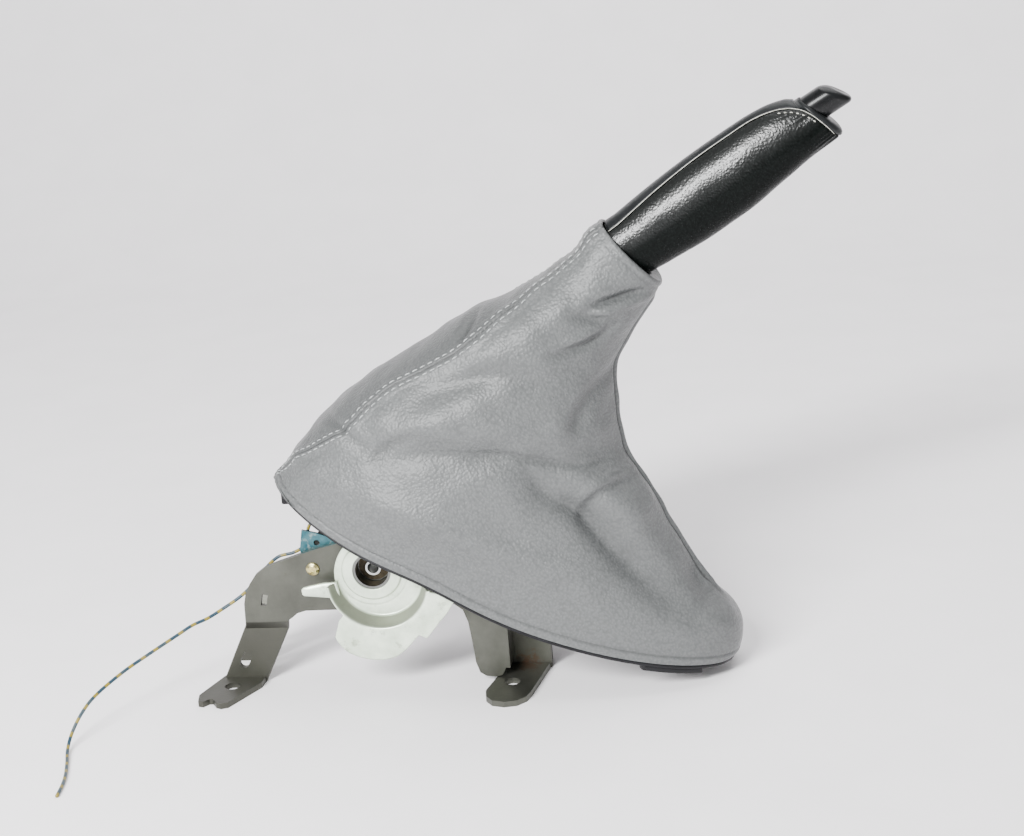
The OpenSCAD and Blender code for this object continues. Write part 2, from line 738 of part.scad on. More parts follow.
near_bracket();
far_bracket();
spacers();
bracket_rivets();
ratchet_sector();
pivot_bushes();
switch_bracket();
switch_body();
switch_plunger();
signal_wire();
boot_frame();
boot();
near_lever_plate();
far_lever_plate();
cable_quadrant();
hub_cups();
pivot_tube();
pivot_sleeve();
pivot_washer();
switch_cam();
lever_tube();
tube_rivets();
pawl_pin();
grip_core();
grip_leather();
grip_top_strip();
end_bezel();
push_button();
push_rod();
pawl();
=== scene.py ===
"""Parking brake lever: leather boot and grip, pressed steel brackets, cable quadrant and switch wire."""

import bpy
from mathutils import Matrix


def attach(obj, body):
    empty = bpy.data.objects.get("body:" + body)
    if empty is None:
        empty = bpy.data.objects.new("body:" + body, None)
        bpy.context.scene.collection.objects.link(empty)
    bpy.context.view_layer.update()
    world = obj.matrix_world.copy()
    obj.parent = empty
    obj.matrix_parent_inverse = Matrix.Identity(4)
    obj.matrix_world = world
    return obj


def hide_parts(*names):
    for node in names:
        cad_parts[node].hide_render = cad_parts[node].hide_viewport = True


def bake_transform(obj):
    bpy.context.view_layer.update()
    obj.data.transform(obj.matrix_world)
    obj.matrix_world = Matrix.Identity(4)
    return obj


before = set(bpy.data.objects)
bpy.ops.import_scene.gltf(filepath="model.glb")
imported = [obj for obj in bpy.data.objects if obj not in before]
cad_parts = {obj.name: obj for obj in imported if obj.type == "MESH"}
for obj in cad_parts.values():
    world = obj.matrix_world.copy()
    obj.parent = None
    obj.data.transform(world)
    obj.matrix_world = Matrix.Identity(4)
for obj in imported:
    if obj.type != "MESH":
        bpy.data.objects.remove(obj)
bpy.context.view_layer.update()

import logging
from dataclasses import dataclass
from enum import Enum
from typing import Optional, Sequence, Union

import bmesh
import bpy
import numpy as np
from mathutils import Matrix

LOG = logging.getLogger("parking_brake")
MM = 0.001
PICTURE_WIDTH = 1024
Array = np.ndarray
Faces = Sequence[Sequence[int]]
Place = tuple[float, float, float]


class Body(str, Enum):
    """Bodies of the frame that new pieces ride on."""

    BASE = "base"
    LEVER = "lever"
    BUTTON = "button"


class Side(Enum):
    """Near or far side of the part, as the sign of Y."""

    NEAR = -1.0
    FAR = 1.0


def spline(keys: Sequence[float], values: Sequence[float], at: Array) -> Array:
    """Cubic through key values: Hermite basis with central-difference slopes.

    Args:
        keys: rising positions of the keys.
        values: one value for each key.
        at: positions to read, held to the range of the keys.

    Returns:
        The curve's value at each position.
    """
    k, y = np.asarray(keys, float), np.asarray(values, float)
    slope = np.gradient(y, k)
    at = np.clip(at, k[0], k[-1])
    i = np.clip(np.searchsorted(k, at, side="right") - 1, 0, len(k) - 2)
    h = k[i + 1] - k[i]
    t = (at - k[i]) / h
    return ((2 * t**3 - 3 * t**2 + 1) * y[i] + (t**3 - 2 * t**2 + t) * h * slope[i]
            + (3 * t**2 - 2 * t**3) * y[i + 1] + (t**3 - t**2) * h * slope[i + 1])


def ease(low: float, high: float, x: Array) -> Array:
    """Smoothstep from 0 at low to 1 at high."""
    t = np.clip((x - low) / (high - low), 0, 1)
    return t * t * (3 - 2 * t)


def bell(x: Array, width: float) -> Array:
    """Gaussian hump of height 1 and the given half width."""
    return np.exp(-((x / width) ** 2))


def signed_power(c: Array, p: Array) -> Array:
    """Power of the size of c, with the sign of c kept."""
    return np.sign(c) * np.abs(c) ** p


def unit(v: Array) -> Array:
    """Vectors along the last axis, scaled to length 1."""
    return v / np.maximum(np.linalg.norm(v, axis=-1, keepdims=True), 1e-12)


def smooth_path(points: Sequence[Sequence[float]], steps: int) -> Array:
    """Catmull-Rom curve through route points, with steps samples on each span.

    Args:
        points: the route's points.
        steps: samples on a span.

    Returns:
        The sampled curve, ending on the last point.
    """
    p = np.asarray(points, float)
    key = np.arange(len(p), dtype=float)
    at = np.linspace(0, len(p) - 1, (len(p) - 1) * steps + 1)
    return np.stack([spline(key, p[:, i], at) for i in range(p.shape[1])], -1)


def grid_faces(rows: int, cols: int, wrap: bool, shut: bool = False) -> Array:
    """Quads over a grid of points, counted row by row.

    Args:
        rows: number of rows.
        cols: points in a row.
        wrap: joins the last column to the first.
        shut: joins the last row to the first.

    Returns:
        Four point numbers for each quad.
    """
    i = np.arange(rows if shut else rows - 1)[:, None]
    j = np.arange(cols if wrap else cols - 1)[None]
    here, after, beside = i * cols, (i + 1) % rows * cols, (j + 1) % cols
    return np.stack([here + j, here + beside, after + beside, after + j], -1).reshape(-1, 4)


def make_piece(name: str, points: Array, faces: Faces, closed: bool = True, uv: Optional[Array] = None,
               marks: Optional[dict[str, Array]] = None) -> bpy.types.Object:
    """Puts points in millimetres and faces into one smooth mesh object at the origin.

    Args:
        name: the piece's name.
        points: vertices in millimetres in the part's frame.
        faces: vertex numbers of each face.
        closed: whether the mesh is a closed skin, whose faces are then turned outwards.
        uv: one UV pair for each vertex.
        marks: float attributes, one value for each vertex.

    Returns:
        The linked object.
    """
    mesh = bpy.data.meshes.new(name)
    mesh.from_pydata((np.asarray(points).reshape(-1, 3) * MM).tolist(), [], [list(f) for f in faces])
    mesh.polygons.foreach_set("use_smooth", np.ones(len(mesh.polygons), bool))
    for key, values in (marks or {}).items():
        layer = mesh.attributes.new(key, "FLOAT", "POINT")
        layer.data.foreach_set("value", np.asarray(values, np.float32).ravel())
    if uv is not None:
        corner = np.zeros(len(mesh.loops), np.int32)
        mesh.loops.foreach_get("vertex_index", corner)
        layer = mesh.uv_layers.new(name="UVMap")
        layer.data.foreach_set("uv", np.asarray(uv, np.float32).reshape(-1, 2)[corner].ravel())
    mesh.update()
    piece = bpy.data.objects.new(name, mesh)
    bpy.context.scene.collection.objects.link(piece)
    if closed:
        work = bmesh.new()
        work.from_mesh(mesh)
        bmesh.ops.recalc_face_normals(work, faces=work.faces)
        work.to_mesh(mesh)
        work.free()
    return piece


def closed_skin(rings: Array) -> tuple[Array, list[list[int]]]:
    """Grid of closed rings with a centre point at each end, so both ends are shut.

    Args:
        rings: points of shape (rows, cols, 3).

    Returns:
        The points with the two poles added, and the faces.
    """
    rows, cols = rings.shape[:2]
    points = np.concatenate([rings.reshape(-1, 3), rings[0].mean(0)[None], rings[-1].mean(0)[None]])
    j = np.arange(cols)
    first = np.stack([np.full(cols, rows * cols), (j + 1) % cols, j], -1)
    last = np.stack([np.full(cols, rows * cols + 1), (rows - 1) * cols + j,
                     (rows - 1) * cols + (j + 1) % cols], -1)
    faces = grid_faces(rows, cols, True).tolist() + first.tolist() + last.tolist()
    return points, faces


def eased_bar(outline: Array, y: Sequence[float], scale: Sequence[float]) -> tuple[Array, list[list[int]]]:
    """Outline in XZ carried along Y, drawn in towards its middle at the ends.

    Args:
        outline: XZ points.
        y: Y of each ring.
        scale: size of each ring against the outline.

    Returns:
        Points and faces of the closed bar.
    """
    middle = outline.mean(0)
    flat = middle + np.array(scale)[:, None, None] * (outline - middle)
    deep = np.broadcast_to(np.array(y)[:, None], flat.shape[:2])
    return closed_skin(np.stack([flat[..., 0], deep, flat[..., 1]], -1))


def run_along(path: Array) -> Array:
    """Distance from a path's start to each of its points."""
    return np.r_[0, np.cumsum(np.linalg.norm(np.diff(path, axis=0), axis=1))]


def read_along(run: Array, data: Array, at: Array) -> Array:
    """Vectors given along a path, read at distances from its start by straight interpolation."""
    return np.stack([np.interp(at, run, data[:, i]) for i in range(3)], -1)


def swept_tube(path: Array, radius: float, sides: int, hint: Sequence[float]) -> Array:
    """Circle carried along a path, turned by the tangent and a fixed hint direction.

    Args:
        path: centreline points.
        radius: radius of the tube.
        sides: points round the circle.
        hint: a direction that the path never runs along.

    Returns:
        The rings.
    """
    tangent = unit(np.gradient(path, axis=0))
    side = unit(np.cross(tangent, np.asarray(hint, float)))
    up = np.cross(side, tangent)
    a = np.linspace(0, 2 * np.pi, sides, endpoint=False)
    ring = np.cos(a)[None, :, None] * side[:, None] + np.sin(a)[None, :, None] * up[:, None]
    return path[:, None] + ring * radius


def stitch_row(path: Array, normal: Array, pitch: float, length: float, radius: float) -> tuple[Array, Array]:
    """Small thread capsules laid end to end along a path, each a barrel whose ends sink into the hide.

    Args:
        path: dense points of the seam line.
        normal: surface normal at each point.
        pitch: distance from stitch to stitch.
        length: length of one stitch.
        radius: thread radius.

    Returns:
        The vertices and quads of all the stitches.
    """
    run = run_along(path)
    at = np.arange(pitch, run[-1] - pitch * 0.5, pitch)
    centre, n = read_along(run, path, at), unit(read_along(run, normal, at))
    t = unit(read_along(run, path, at + 0.4 * length) - read_along(run, path, at - 0.4 * length))
    s = np.cross(n, t)
    along, thick = np.array([-1, -0.8, 0, 0.8, 1]), np.array([0.25, 0.8, 1, 0.8, 0.25])
    rings, sides = len(along), 6
    a = np.linspace(0, 2 * np.pi, sides, endpoint=False)
    shape = np.stack([np.broadcast_to(along[:, None] * length / 2, (rings, sides)), thick[:, None] * np.cos(a) * radius,
                      thick[:, None] * np.sin(a) * radius], -1).reshape(-1, 3)
    sink = (np.abs(shape[:, 0]) / (length / 2)) ** 2 * radius * 0.9
    points = (centre[:, None] + shape[None, :, :1] * t[:, None] + shape[None, :, 1:2] * s[:, None]
              + (shape[None, :, 2:] + radius * 0.55 - sink[None, :, None]) * n[:, None])
    ends = [[5, 4, 1, 0], [4, 3, 2, 1], [24, 25, 28, 29], [25, 26, 27, 28]]
    quads = np.concatenate([grid_faces(rings, sides, True), ends])
    faces = (quads[None] + (np.arange(len(at)) * rings * sides)[:, None, None]).reshape(-1, 4)
    return points.reshape(-1, 3), faces


def joined(parts: Sequence[tuple[Array, Faces]]) -> tuple[Array, list[list[int]]]:
    """Several point and face lists as one.

    Args:
        parts: points and faces of each part.

    Returns:
        All the points, and the faces renumbered to them.
    """
    points, faces, start = [], [], 0
    for p, f in parts:
        p = np.asarray(p).reshape(-1, 3)
        points.append(p)
        faces += [[int(v) + start for v in q] for q in f]
        start += len(p)
    return np.concatenate(points), faces


def linear(code: str) -> tuple[float, float, float, float]:
    """Turns an sRGB hex colour to linear light.

    Args:
        code: the colour, such as 8A8C8E.

    Returns:
        Red, green, blue and a full alpha.
    """
    c = np.array([int(code[i:i + 2], 16) for i in (0, 2, 4)]) / 255
    c = np.where(c <= 0.04045, c / 12.92, ((c + 0.055) / 1.055) ** 2.4)
    return (float(c[0]), float(c[1]), float(c[2]), 1.0)


def add(tree: bpy.types.NodeTree, kind: str, links: Optional[dict] = None,
        stops: Optional[Sequence[tuple[float, str]]] = None, **settings: Union[str, bool]) -> bpy.types.Node:
    """Adds one shader node.

    Args:
        tree: the material's node tree.
        kind: node type without the ShaderNode prefix.
        links: socket name or number to a constant or to another node's output. Map Range reads between 1 and 2
            and gives between 3 and 4; Mix takes its share at 0 and its colours at 6 and 7.
        stops: positions and hex colours of a colour ramp.
        settings: the node's own properties.

    Returns:
        The new node.
    """
    node = tree.nodes.new("ShaderNode" + kind)
    for key, value in settings.items():
        setattr(node, key, value)
    if stops:
        ramp = node.color_ramp.elements
        while len(ramp) < len(stops):
            ramp.new(0.5)
        for element, (position, code) in zip(ramp, stops):
            element.position = position
            element.color = linear(code)
    for socket, value in (links or {}).items():
        if isinstance(value, bpy.types.NodeSocket):
            tree.links.new(value, node.inputs[socket])
        else:
            node.inputs[socket].default_value = value
    return node


def per_mm(size: float) -> float:
    """Texture scale on Object coordinates, in metres, that repeats about every size millimetres."""
    return 1.0 / (size * MM)


def blank(name: str) -> tuple[bpy.types.Material, bpy.types.NodeTree, bpy.types.NodeSocket]:
    """A new material with only an output and Object coordinates.

    Args:
        name: the material's name.

    Returns:
        The material, its tree and the Object coordinate output.
    """
    material = bpy.data.materials.new(name)
    material.use_nodes = True
    material.node_tree.nodes.clear()
    return material, material.node_tree, add(material.node_tree, "TexCoord").outputs["Object"]


def close(tree: bpy.types.NodeTree, shader: bpy.types.Node) -> None:
    """Links a shader to a new output node."""
    add(tree, "OutputMaterial", {"Surface": shader.outputs[0]})


@dataclass(frozen=True)
class Leather:
    """Chrome-tanned hide, grain-pressed and lacquered: broken highlights over fine pebbles, with painted shade in the
    folds.

    Pebbles and wrinkles have a spacing and a height in millimetres.
    """

    name: str
    dark: str
    mid: str
    light: str
    fold: str
    roughness: float
    pebble: float
    pebble_height: float
    wrinkle: float
    wrinkle_height: float
    lacquer: float

    def build(self) -> bpy.types.Material:
        """Voronoi pebbles and noise for the grain; the fold mark paints shade into the creases, the polish mark sets
        the coat.

        Returns:
            The new material.
        """
        material, tree, here = blank(self.name)
        warp = add(tree, "TexNoise", {"Vector": here, "Scale": per_mm(3.2), "Detail": 2.0})
        moved = add(tree, "VectorMath", {0: warp.outputs["Color"], 1: (1.1 * MM,) * 3, 2: here},
                    operation="MULTIPLY_ADD")
        pebble = add(tree, "TexVoronoi", {"Vector": moved.outputs[0], "Scale": per_mm(self.pebble)},
                     feature="SMOOTH_F1")
        tone = add(tree, "ValToRGB", {"Fac": pebble.outputs["Distance"]},
                   stops=[(0.15, self.light), (0.4, self.mid), (0.65, self.dark)])
        # Painted shade: the fold mark mixes the tone towards the fold colour in creases and grooves, and on the boot's
        # top panel and upper part.
        mark = add(tree, "Attribute", attribute_name="fold")
        shade = add(tree, "MapRange", {"Value": mark.outputs["Fac"], 1: 0.0, 2: 1.0, 3: 0.0, 4: 0.75})
        colour = add(tree, "Mix", {0: shade.outputs[0], 6: tone.outputs[0], 7: linear(self.fold)}, data_type="RGBA")
        wrinkle = add(tree, "TexNoise", {"Vector": here, "Scale": per_mm(self.wrinkle), "Detail": 3.0,
                                         "Roughness": 0.65})
        fine = add(tree, "Bump", {"Height": pebble.outputs["Distance"], "Strength": 1.0,
                                  "Distance": self.pebble_height * MM}, invert=True)
        bump = add(tree, "Bump", {"Height": wrinkle.outputs["Fac"], "Strength": 1.0,
                                  "Distance": self.wrinkle_height * MM, "Normal": fine.outputs[0]})
        polish = add(tree, "MapRange", {"Value": wrinkle.outputs["Fac"], 1: 0.3, 2: 0.7,
                                        3: self.roughness - 0.07, 4: self.roughness + 0.07})
        # Painted shade where the polish mark is low: the coat is left off there, on the grip's underside.
        coat_share_with_painted_shade = add(tree, "Attribute", attribute_name="polish")
        shine = add(tree, "MapRange", {"Value": coat_share_with_painted_shade.outputs["Fac"], 1: 0.0, 2: 1.0, 3: 0.0, 4: self.lacquer})
        close(tree, add(tree, "BsdfPrincipled", {
            "Base Color": colour.outputs[2], "Roughness": polish.outputs[0], "Normal": bump.outputs[0],
            "Specular IOR Level": 0.06, "IOR": 1.5, "Coat Weight": shine.outputs[0],
            "Coat Roughness": self.roughness, "Coat IOR": 1.5, "Coat Normal": bump.outputs[0]}))
        return material


@dataclass(frozen=True)
class PlatedSteel:
    """Pressed mild steel with a thin plated or passivated skin: cloudy sheen, worn patches and a few stains.

    Lengths are in millimetres. Rust gathers round rust_at, a painted shade darkens the leg under and behind its two
    limits, and a dark mix of dust and painted shade follows the mesh's mark.
    """

    name: str
    dark: str
    light: str
    stain: str
    roughness: float
    cloud: float
    stain_from: float
    metallic: float = 1.0
    rust_at: Optional[Place] = None
    rust_reach: float = 14.0
    rust: str = "564436"
    leg_painted_shade: Optional[str] = None
    leg_under: tuple[float, float] = (43.0, 36.0)
    leg_behind: tuple[float, float] = (-30.0, -45.0)
    dust_and_painted_shade: Optional[str] = None

    def build(self) -> bpy.types.Material:
        """Two noise clouds for the plating's tone and gloss, and thresholded noise for handling stains.

        Returns:
            The new material.
        """
        material, tree, here = blank(self.name)
        cloud = add(tree, "TexNoise", {"Vector": here, "Scale": per_mm(self.cloud), "Detail": 5.0,
                                       "Roughness": 0.62})
        tone = add(tree, "ValToRGB", {"Fac": cloud.outputs["Fac"]}, stops=[(0.32, self.dark), (0.68, self.light)])
        spot = add(tree, "TexNoise", {"Vector": here, "Scale": per_mm(9), "Detail": 6.0, "Roughness": 0.7})
        amount = add(tree, "MapRange", {"Value": spot.outputs["Fac"], 1: self.stain_from,
                                        2: self.stain_from + 0.12, 3: 0.0, 4: 0.7})
        films = [(amount, self.stain)]
        if self.rust_at:
            away = add(tree, "VectorMath", {0: here, 1: [x * MM for x in self.rust_at]}, operation="DISTANCE")
            near = add(tree, "MapRange", {"Value": away.outputs["Value"], 1: 0.0, 2: self.rust_reach * MM,
                                          3: 0.42, 4: 0.0})
            speck = add(tree, "TexNoise", {"Vector": here, "Scale": per_mm(3.5), "Detail": 6.0, "Roughness": 0.75})
            both = add(tree, "Math", {0: near.outputs[0], 1: speck.outputs["Fac"]}, operation="ADD")
            films.append((add(tree, "MapRange", {"Value": both.outputs[0], 1: 0.68, 2: 0.82, 3: 0.0, 4: 0.7}),
                          self.rust))
        # Painted shade: the lower rear leg is darkened towards a flat colour.
        if self.leg_painted_shade:
            axes = add(tree, "SeparateXYZ", {0: here})
            low = add(tree, "MapRange", {"Value": axes.outputs["Z"], 1: self.leg_under[0] * MM,
                                         2: self.leg_under[1] * MM, 3: 0.0, 4: 0.75})
            rear = add(tree, "MapRange", {"Value": axes.outputs["X"], 1: self.leg_behind[0] * MM,
                                          2: self.leg_behind[1] * MM, 3: 0.0, 4: 1.0})
            films.append((add(tree, "Math", {0: low.outputs[0], 1: rear.outputs[0]}, operation="MULTIPLY"),
                          self.leg_painted_shade))
        # Dust and painted shade: the marked parts of the mesh are darkened, mostly standing in for shade and dark
        # reflection.
        if self.dust_and_painted_shade:
            mark = add(tree, "Attribute", attribute_name="dust_and_painted_shade")
            films.append((add(tree, "MapRange", {"Value": mark.outputs["Fac"], 1: 0.0, 2: 1.0, 3: 0.0, 4: 0.88}),
                          self.dust_and_painted_shade))
        colour = tone.outputs[0]
        for share, code in films:
            colour = add(tree, "Mix", {0: share.outputs[0], 6: colour, 7: linear(code)}, data_type="RGBA").outputs[2]
        gloss = add(tree, "MapRange", {"Value": cloud.outputs["Fac"], 1: 0.3, 2: 0.7,
                                       3: self.roughness - 0.06, 4: self.roughness + 0.08})
        tooth = add(tree, "TexNoise", {"Vector": here, "Scale": per_mm(1.6), "Detail": 3.0})
        bump = add(tree, "Bump", {"Height": tooth.outputs["Fac"], "Strength": 1.0, "Distance": 0.05 * MM})
        close(tree, add(tree, "BsdfPrincipled", {
            "Base Color": colour, "Metallic": self.metallic, "Roughness": gloss.outputs[0],
            "Normal": bump.outputs[0]}))
        return material


@dataclass(frozen=True)
class MouldedPlastic:
    """Injection-moulded plastic: even colour with a faint spark-eroded texture and slight gloss drift.

    The texture has a spacing and a height in millimetres.
    """

    name: str
    base: str
    drift: str
    roughness: float
    texture: float
    height: float

    def build(self) -> bpy.types.Material:
        """Fine noise for the mould texture, broad noise for the colour and gloss drift.

        Returns:
            The new material.
        """
        material, tree, here = blank(self.name)
        broad = add(tree, "TexNoise", {"Vector": here, "Scale": per_mm(14), "Detail": 3.0})
        tone = add(tree, "ValToRGB", {"Fac": broad.outputs["Fac"]}, stops=[(0.35, self.base), (0.7, self.drift)])
        skin = add(tree, "TexNoise", {"Vector": here, "Scale": per_mm(self.texture), "Detail": 2.0})
        bump = add(tree, "Bump", {"Height": skin.outputs["Fac"], "Strength": 1.0, "Distance": self.height * MM})
        gloss = add(tree, "MapRange", {"Value": broad.outputs["Fac"], 1: 0.3, 2: 0.7,
                                       3: self.roughness - 0.05, 4: self.roughness + 0.05})
        close(tree, add(tree, "BsdfPrincipled", {
            "Base Color": tone.outputs[0], "Roughness": gloss.outputs[0], "Normal": bump.outputs[0],
            "Specular IOR Level": 0.25, "IOR": 1.5}))
        return material


@dataclass(frozen=True)
class SleeveVinyl:
    """Extruded vinyl wire sleeve printed with short marker bands: satin, band edges slightly soft."""

    name: str
    ground: str
    band: str
    pitch: float
    band_length: float
    dirt: str = "6B6A5C"

    def build(self) -> bpy.types.Material:
        """The UV map's second number counts pitches along the wire; a band fills part of each pitch.

        Returns:
            The new material.
        """
        material, tree, here = blank(self.name)
        along = add(tree, "SeparateXYZ", {0: add(tree, "TexCoord").outputs["UV"]})
        phase = add(tree, "Math", {0: along.outputs["Y"]}, operation="FRACT")
        share = self.band_length / self.pitch
        band = add(tree, "ValToRGB", {"Fac": phase.outputs[0]},
                   stops=[(0.0, self.ground), (0.08, self.band), (share, self.band), (share + 0.08, self.ground)])
        dust = add(tree, "TexNoise", {"Vector": here, "Scale": per_mm(7), "Detail": 4.0})
        veil = add(tree, "MapRange", {"Value": dust.outputs["Fac"], 1: 0.45, 2: 0.75, 3: 0.0, 4: 0.35})
        colour = add(tree, "Mix", {0: veil.outputs[0], 6: band.outputs[0], 7: linear(self.dirt)}, data_type="RGBA")
        close(tree, add(tree, "BsdfPrincipled", {"Base Color": colour.outputs[2], "Roughness": 0.42, "IOR": 1.53}))
        return material


@dataclass(frozen=True)
class SewingThread:
    """Bonded polyester sewing thread: pale, dull, with a fine twist."""

    name: str
    light: str
    dark: str

    def build(self) -> bpy.types.Material:
        """Short noise for the plies of the twist, drawn coarser than real so that it shows.

        Returns:
            The new material.
        """
        material, tree, here = blank(self.name)
        ply = add(tree, "TexNoise", {"Vector": here, "Scale": per_mm(1.1), "Detail": 2.0})
        tone = add(tree, "ValToRGB", {"Fac": ply.outputs["Fac"]}, stops=[(0.35, self.dark), (0.6, self.light)])
        bump = add(tree, "Bump", {"Height": ply.outputs["Fac"], "Strength": 1.0, "Distance": 0.1 * MM})
        close(tree, add(tree, "BsdfPrincipled", {
            "Base Color": tone.outputs[0], "Roughness": 0.75, "Normal": bump.outputs[0], "IOR": 1.5}))
        return material


@dataclass(frozen=True)
class StudioCard:
    """Matt white card of the sweep: plain, with the faintest fibre mottling."""

    name: str
    dark: str
    light: str

    def build(self) -> bpy.types.Material:
        """One low-contrast noise between two near-whites.

        Returns:
            The new material.
        """
        material, tree, here = blank(self.name)
        fibre = add(tree, "TexNoise", {"Vector": here, "Scale": per_mm(60), "Detail": 3.0})
        tone = add(tree, "ValToRGB", {"Fac": fibre.outputs["Fac"]}, stops=[(0.3, self.dark), (0.7, self.light)])
        close(tree, add(tree, "BsdfPrincipled", {"Base Color": tone.outputs[0], "Roughness": 0.9}))
        return material


Finish = Union[Leather, PlatedSteel, MouldedPlastic, SleeveVinyl, SewingThread, StudioCard]

# Pigmented grey hide: a soft broad shine that breaks on the pebbles, with painted shade in the creases.
BOOT_HIDE = Leather("grey_boot_hide", dark="525454", mid="595B5B", light="606262", fold="292B2B", roughness=0.46,
                    pebble=1.4, pebble_height=0.34, wrinkle=3.4, wrinkle_height=0.16, lacquer=0.85)
# Drum-dyed black hide, handled smooth: sharp glints on top; below, the coat is left off as painted shade.
GRIP_HIDE = Leather("black_grip_hide", dark="060807", mid="090C0B", light="0D100F", fold="030404", roughness=0.28,
                    pebble=1.1, pebble_height=0.14, wrinkle=3.6, wrinkle_height=0.05, lacquer=0.9)
# Threads a little paler than what they sew, so that they read as dashed lines.
BOOT_THREAD = SewingThread("grey_boot_thread", light="A4A7A6", dark="7C7F7F")
GRIP_THREAD = SewingThread("pale_grip_thread", light="B8B8B0", dark="8F8F88")
# Phosphated and oiled: dull grey-brown, rusty on the front foot, with painted shade darkening the rear leg.
BRACKET_STEEL = PlatedSteel("phosphated_bracket_steel", "484943", "5F6059", "4A4637", roughness=0.42, cloud=34,
                            stain_from=0.64, metallic=0.85, rust_at=(88.0, -7.0, 4.0), leg_painted_shade="464640")
# Clear-passivated zinc: whitish and satin, darkened where the mesh is marked: painted shade and painted reflection on
# the dished wall and the rings round the hub, with a little dust.
WHITE_ZINC = PlatedSteel("clear_zinc_plate", "C6D4BE", "EAF5E2", "909A84", roughness=0.34, cloud=13, stain_from=0.58,
                         metallic=0.4, dust_and_painted_shade="5B5C4F")
# Blue-passivated and yellow-chromated zinc: coloured metal with spots, brown on the yellow; on the blue the pale spots
# are partly wear and partly painted highlights.
BLUE_ZINC = PlatedSteel("blue_passivated_zinc", "264F58", "4E7278", "B3BBB6", roughness=0.36, cloud=7, stain_from=0.56)
YELLOW_ZINC = PlatedSteel("yellow_chromate_zinc", "B9A766", "D9D3A2", "8C7440", roughness=0.28, cloud=6,
                          stain_from=0.62)
# Bare steels from oiled dark to bright drawn, and the bronze washer, darkened as painted shade in the hub's recess.
DARK_STEEL = PlatedSteel("oiled_dark_steel", "3F3F3E", "5A5A58", "46392C", roughness=0.4, cloud=12, stain_from=0.6)
HUB_STEEL = PlatedSteel("drawn_hub_steel", "5A5B59", "7C7D7A", "3D372F", roughness=0.3, cloud=14, stain_from=0.66)
PLAIN_STEEL = PlatedSteel("bright_drawn_steel", "9C9D9B", "C2C3C0", "83765F", roughness=0.3, cloud=14, stain_from=0.66)
WASHER_BRONZE = PlatedSteel("bronze_washer_in_painted_shade", "24211D", "4E4638", "171410", roughness=0.42, cloud=4,
                            stain_from=0.5)
# Moulded plastics: near-black from matt to polished, and the milky natural acetal of the switch.
FRAME_PLASTIC = MouldedPlastic("black_polypropylene", "0E0E10", "17171A", roughness=0.45, texture=0.9, height=0.03)
BUTTON_PLASTIC = MouldedPlastic("polished_black_nylon", "0A0B0C", "101214", roughness=0.32, texture=1.4, height=0.01)
STRIP_PLASTIC = MouldedPlastic("satin_black_nylon", "131516", "1B1D1E", roughness=0.36, texture=1.0, height=0.02)
SWITCH_PLASTIC = MouldedPlastic("natural_acetal", "C6C1B0", "D6D2C4", roughness=0.4, texture=1.2, height=0.02)
# Satin vinyl, blue with yellow bands, under a little dust.
WIRE_VINYL = SleeveVinyl("banded_wire_vinyl", ground="0B3040", band="7C6D12", pitch=8.5, band_length=3.0)
SWEEP_CARD = StudioCard("matt_sweep_card", dark="F6F4F6", light="FAF8FA")


def material_of(finish: Finish) -> bpy.types.Material:
    """The finish's material, built the first time it is asked for."""
    return bpy.data.materials.get(finish.name) or finish.build()


def dress(piece: bpy.types.Object, finish: Finish) -> bpy.types.Object:
    """Gives a piece one finish on all its faces, and names its slot in the record.

    Args:
        piece: the mesh object.
        finish: its finish.

    Returns:
        The same piece.
    """
    piece.data.materials.clear()
    piece.data.materials.append(material_of(finish))
    LOG.info("%s: %s", piece.name, finish.name)
    return piece


def settle(piece: bpy.types.Object, finish: Finish, body: Body, node: Optional[str] = None) -> None:
    """Dresses a rigid piece, sets it on its body and lets it stand for a CAD node.

    Args:
        piece: the mesh object.
        finish: its finish.
        body: the body that it rides on.
        node: the CAD node that it replaces, if any.
    """
    dress(piece, finish)
    if node:
        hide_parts(node)
    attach(piece, body.value)


@dataclass(frozen=True)
class Lamp:
    """One soft rectangular light: place and size in metres, direction of its long side, and power in watts."""

    name: str
    at: Place
    along: Place
    size: tuple[float, float]
    power: float


LAMPS = (
    Lamp("key", (-0.5, -1.27, 0.94), (0.83, -0.07, 0.55), (0.95, 0.3), 75.0),
    Lamp("overhead", (0.4, 0.4, 1.9), (1.0, 0.0, 0.0), (1.6, 1.6), 30.0),
    Lamp("fill", (1.4, -1.1, 0.6), (1.0, 0.0, 0.0), (1.2, 1.2), 2.0),
)


def stand(thing: bpy.types.Object, right: Array, up: Array, back: Array, at: Sequence[float]) -> None:
    """Links a camera or lamp, turned to three axes at a place in metres.

    Args:
        thing: the camera or lamp.
        right: its own X axis.
        up: its own Y axis.
        back: its own Z axis, away from what it sees or lights.
        at: its place.
    """
    bpy.context.scene.collection.objects.link(thing)
    place = np.eye(4)
    place[:3, :3] = np.stack([right, up, back], 1)
    place[:3, 3] = at
    thing.matrix_world = Matrix(place.tolist())


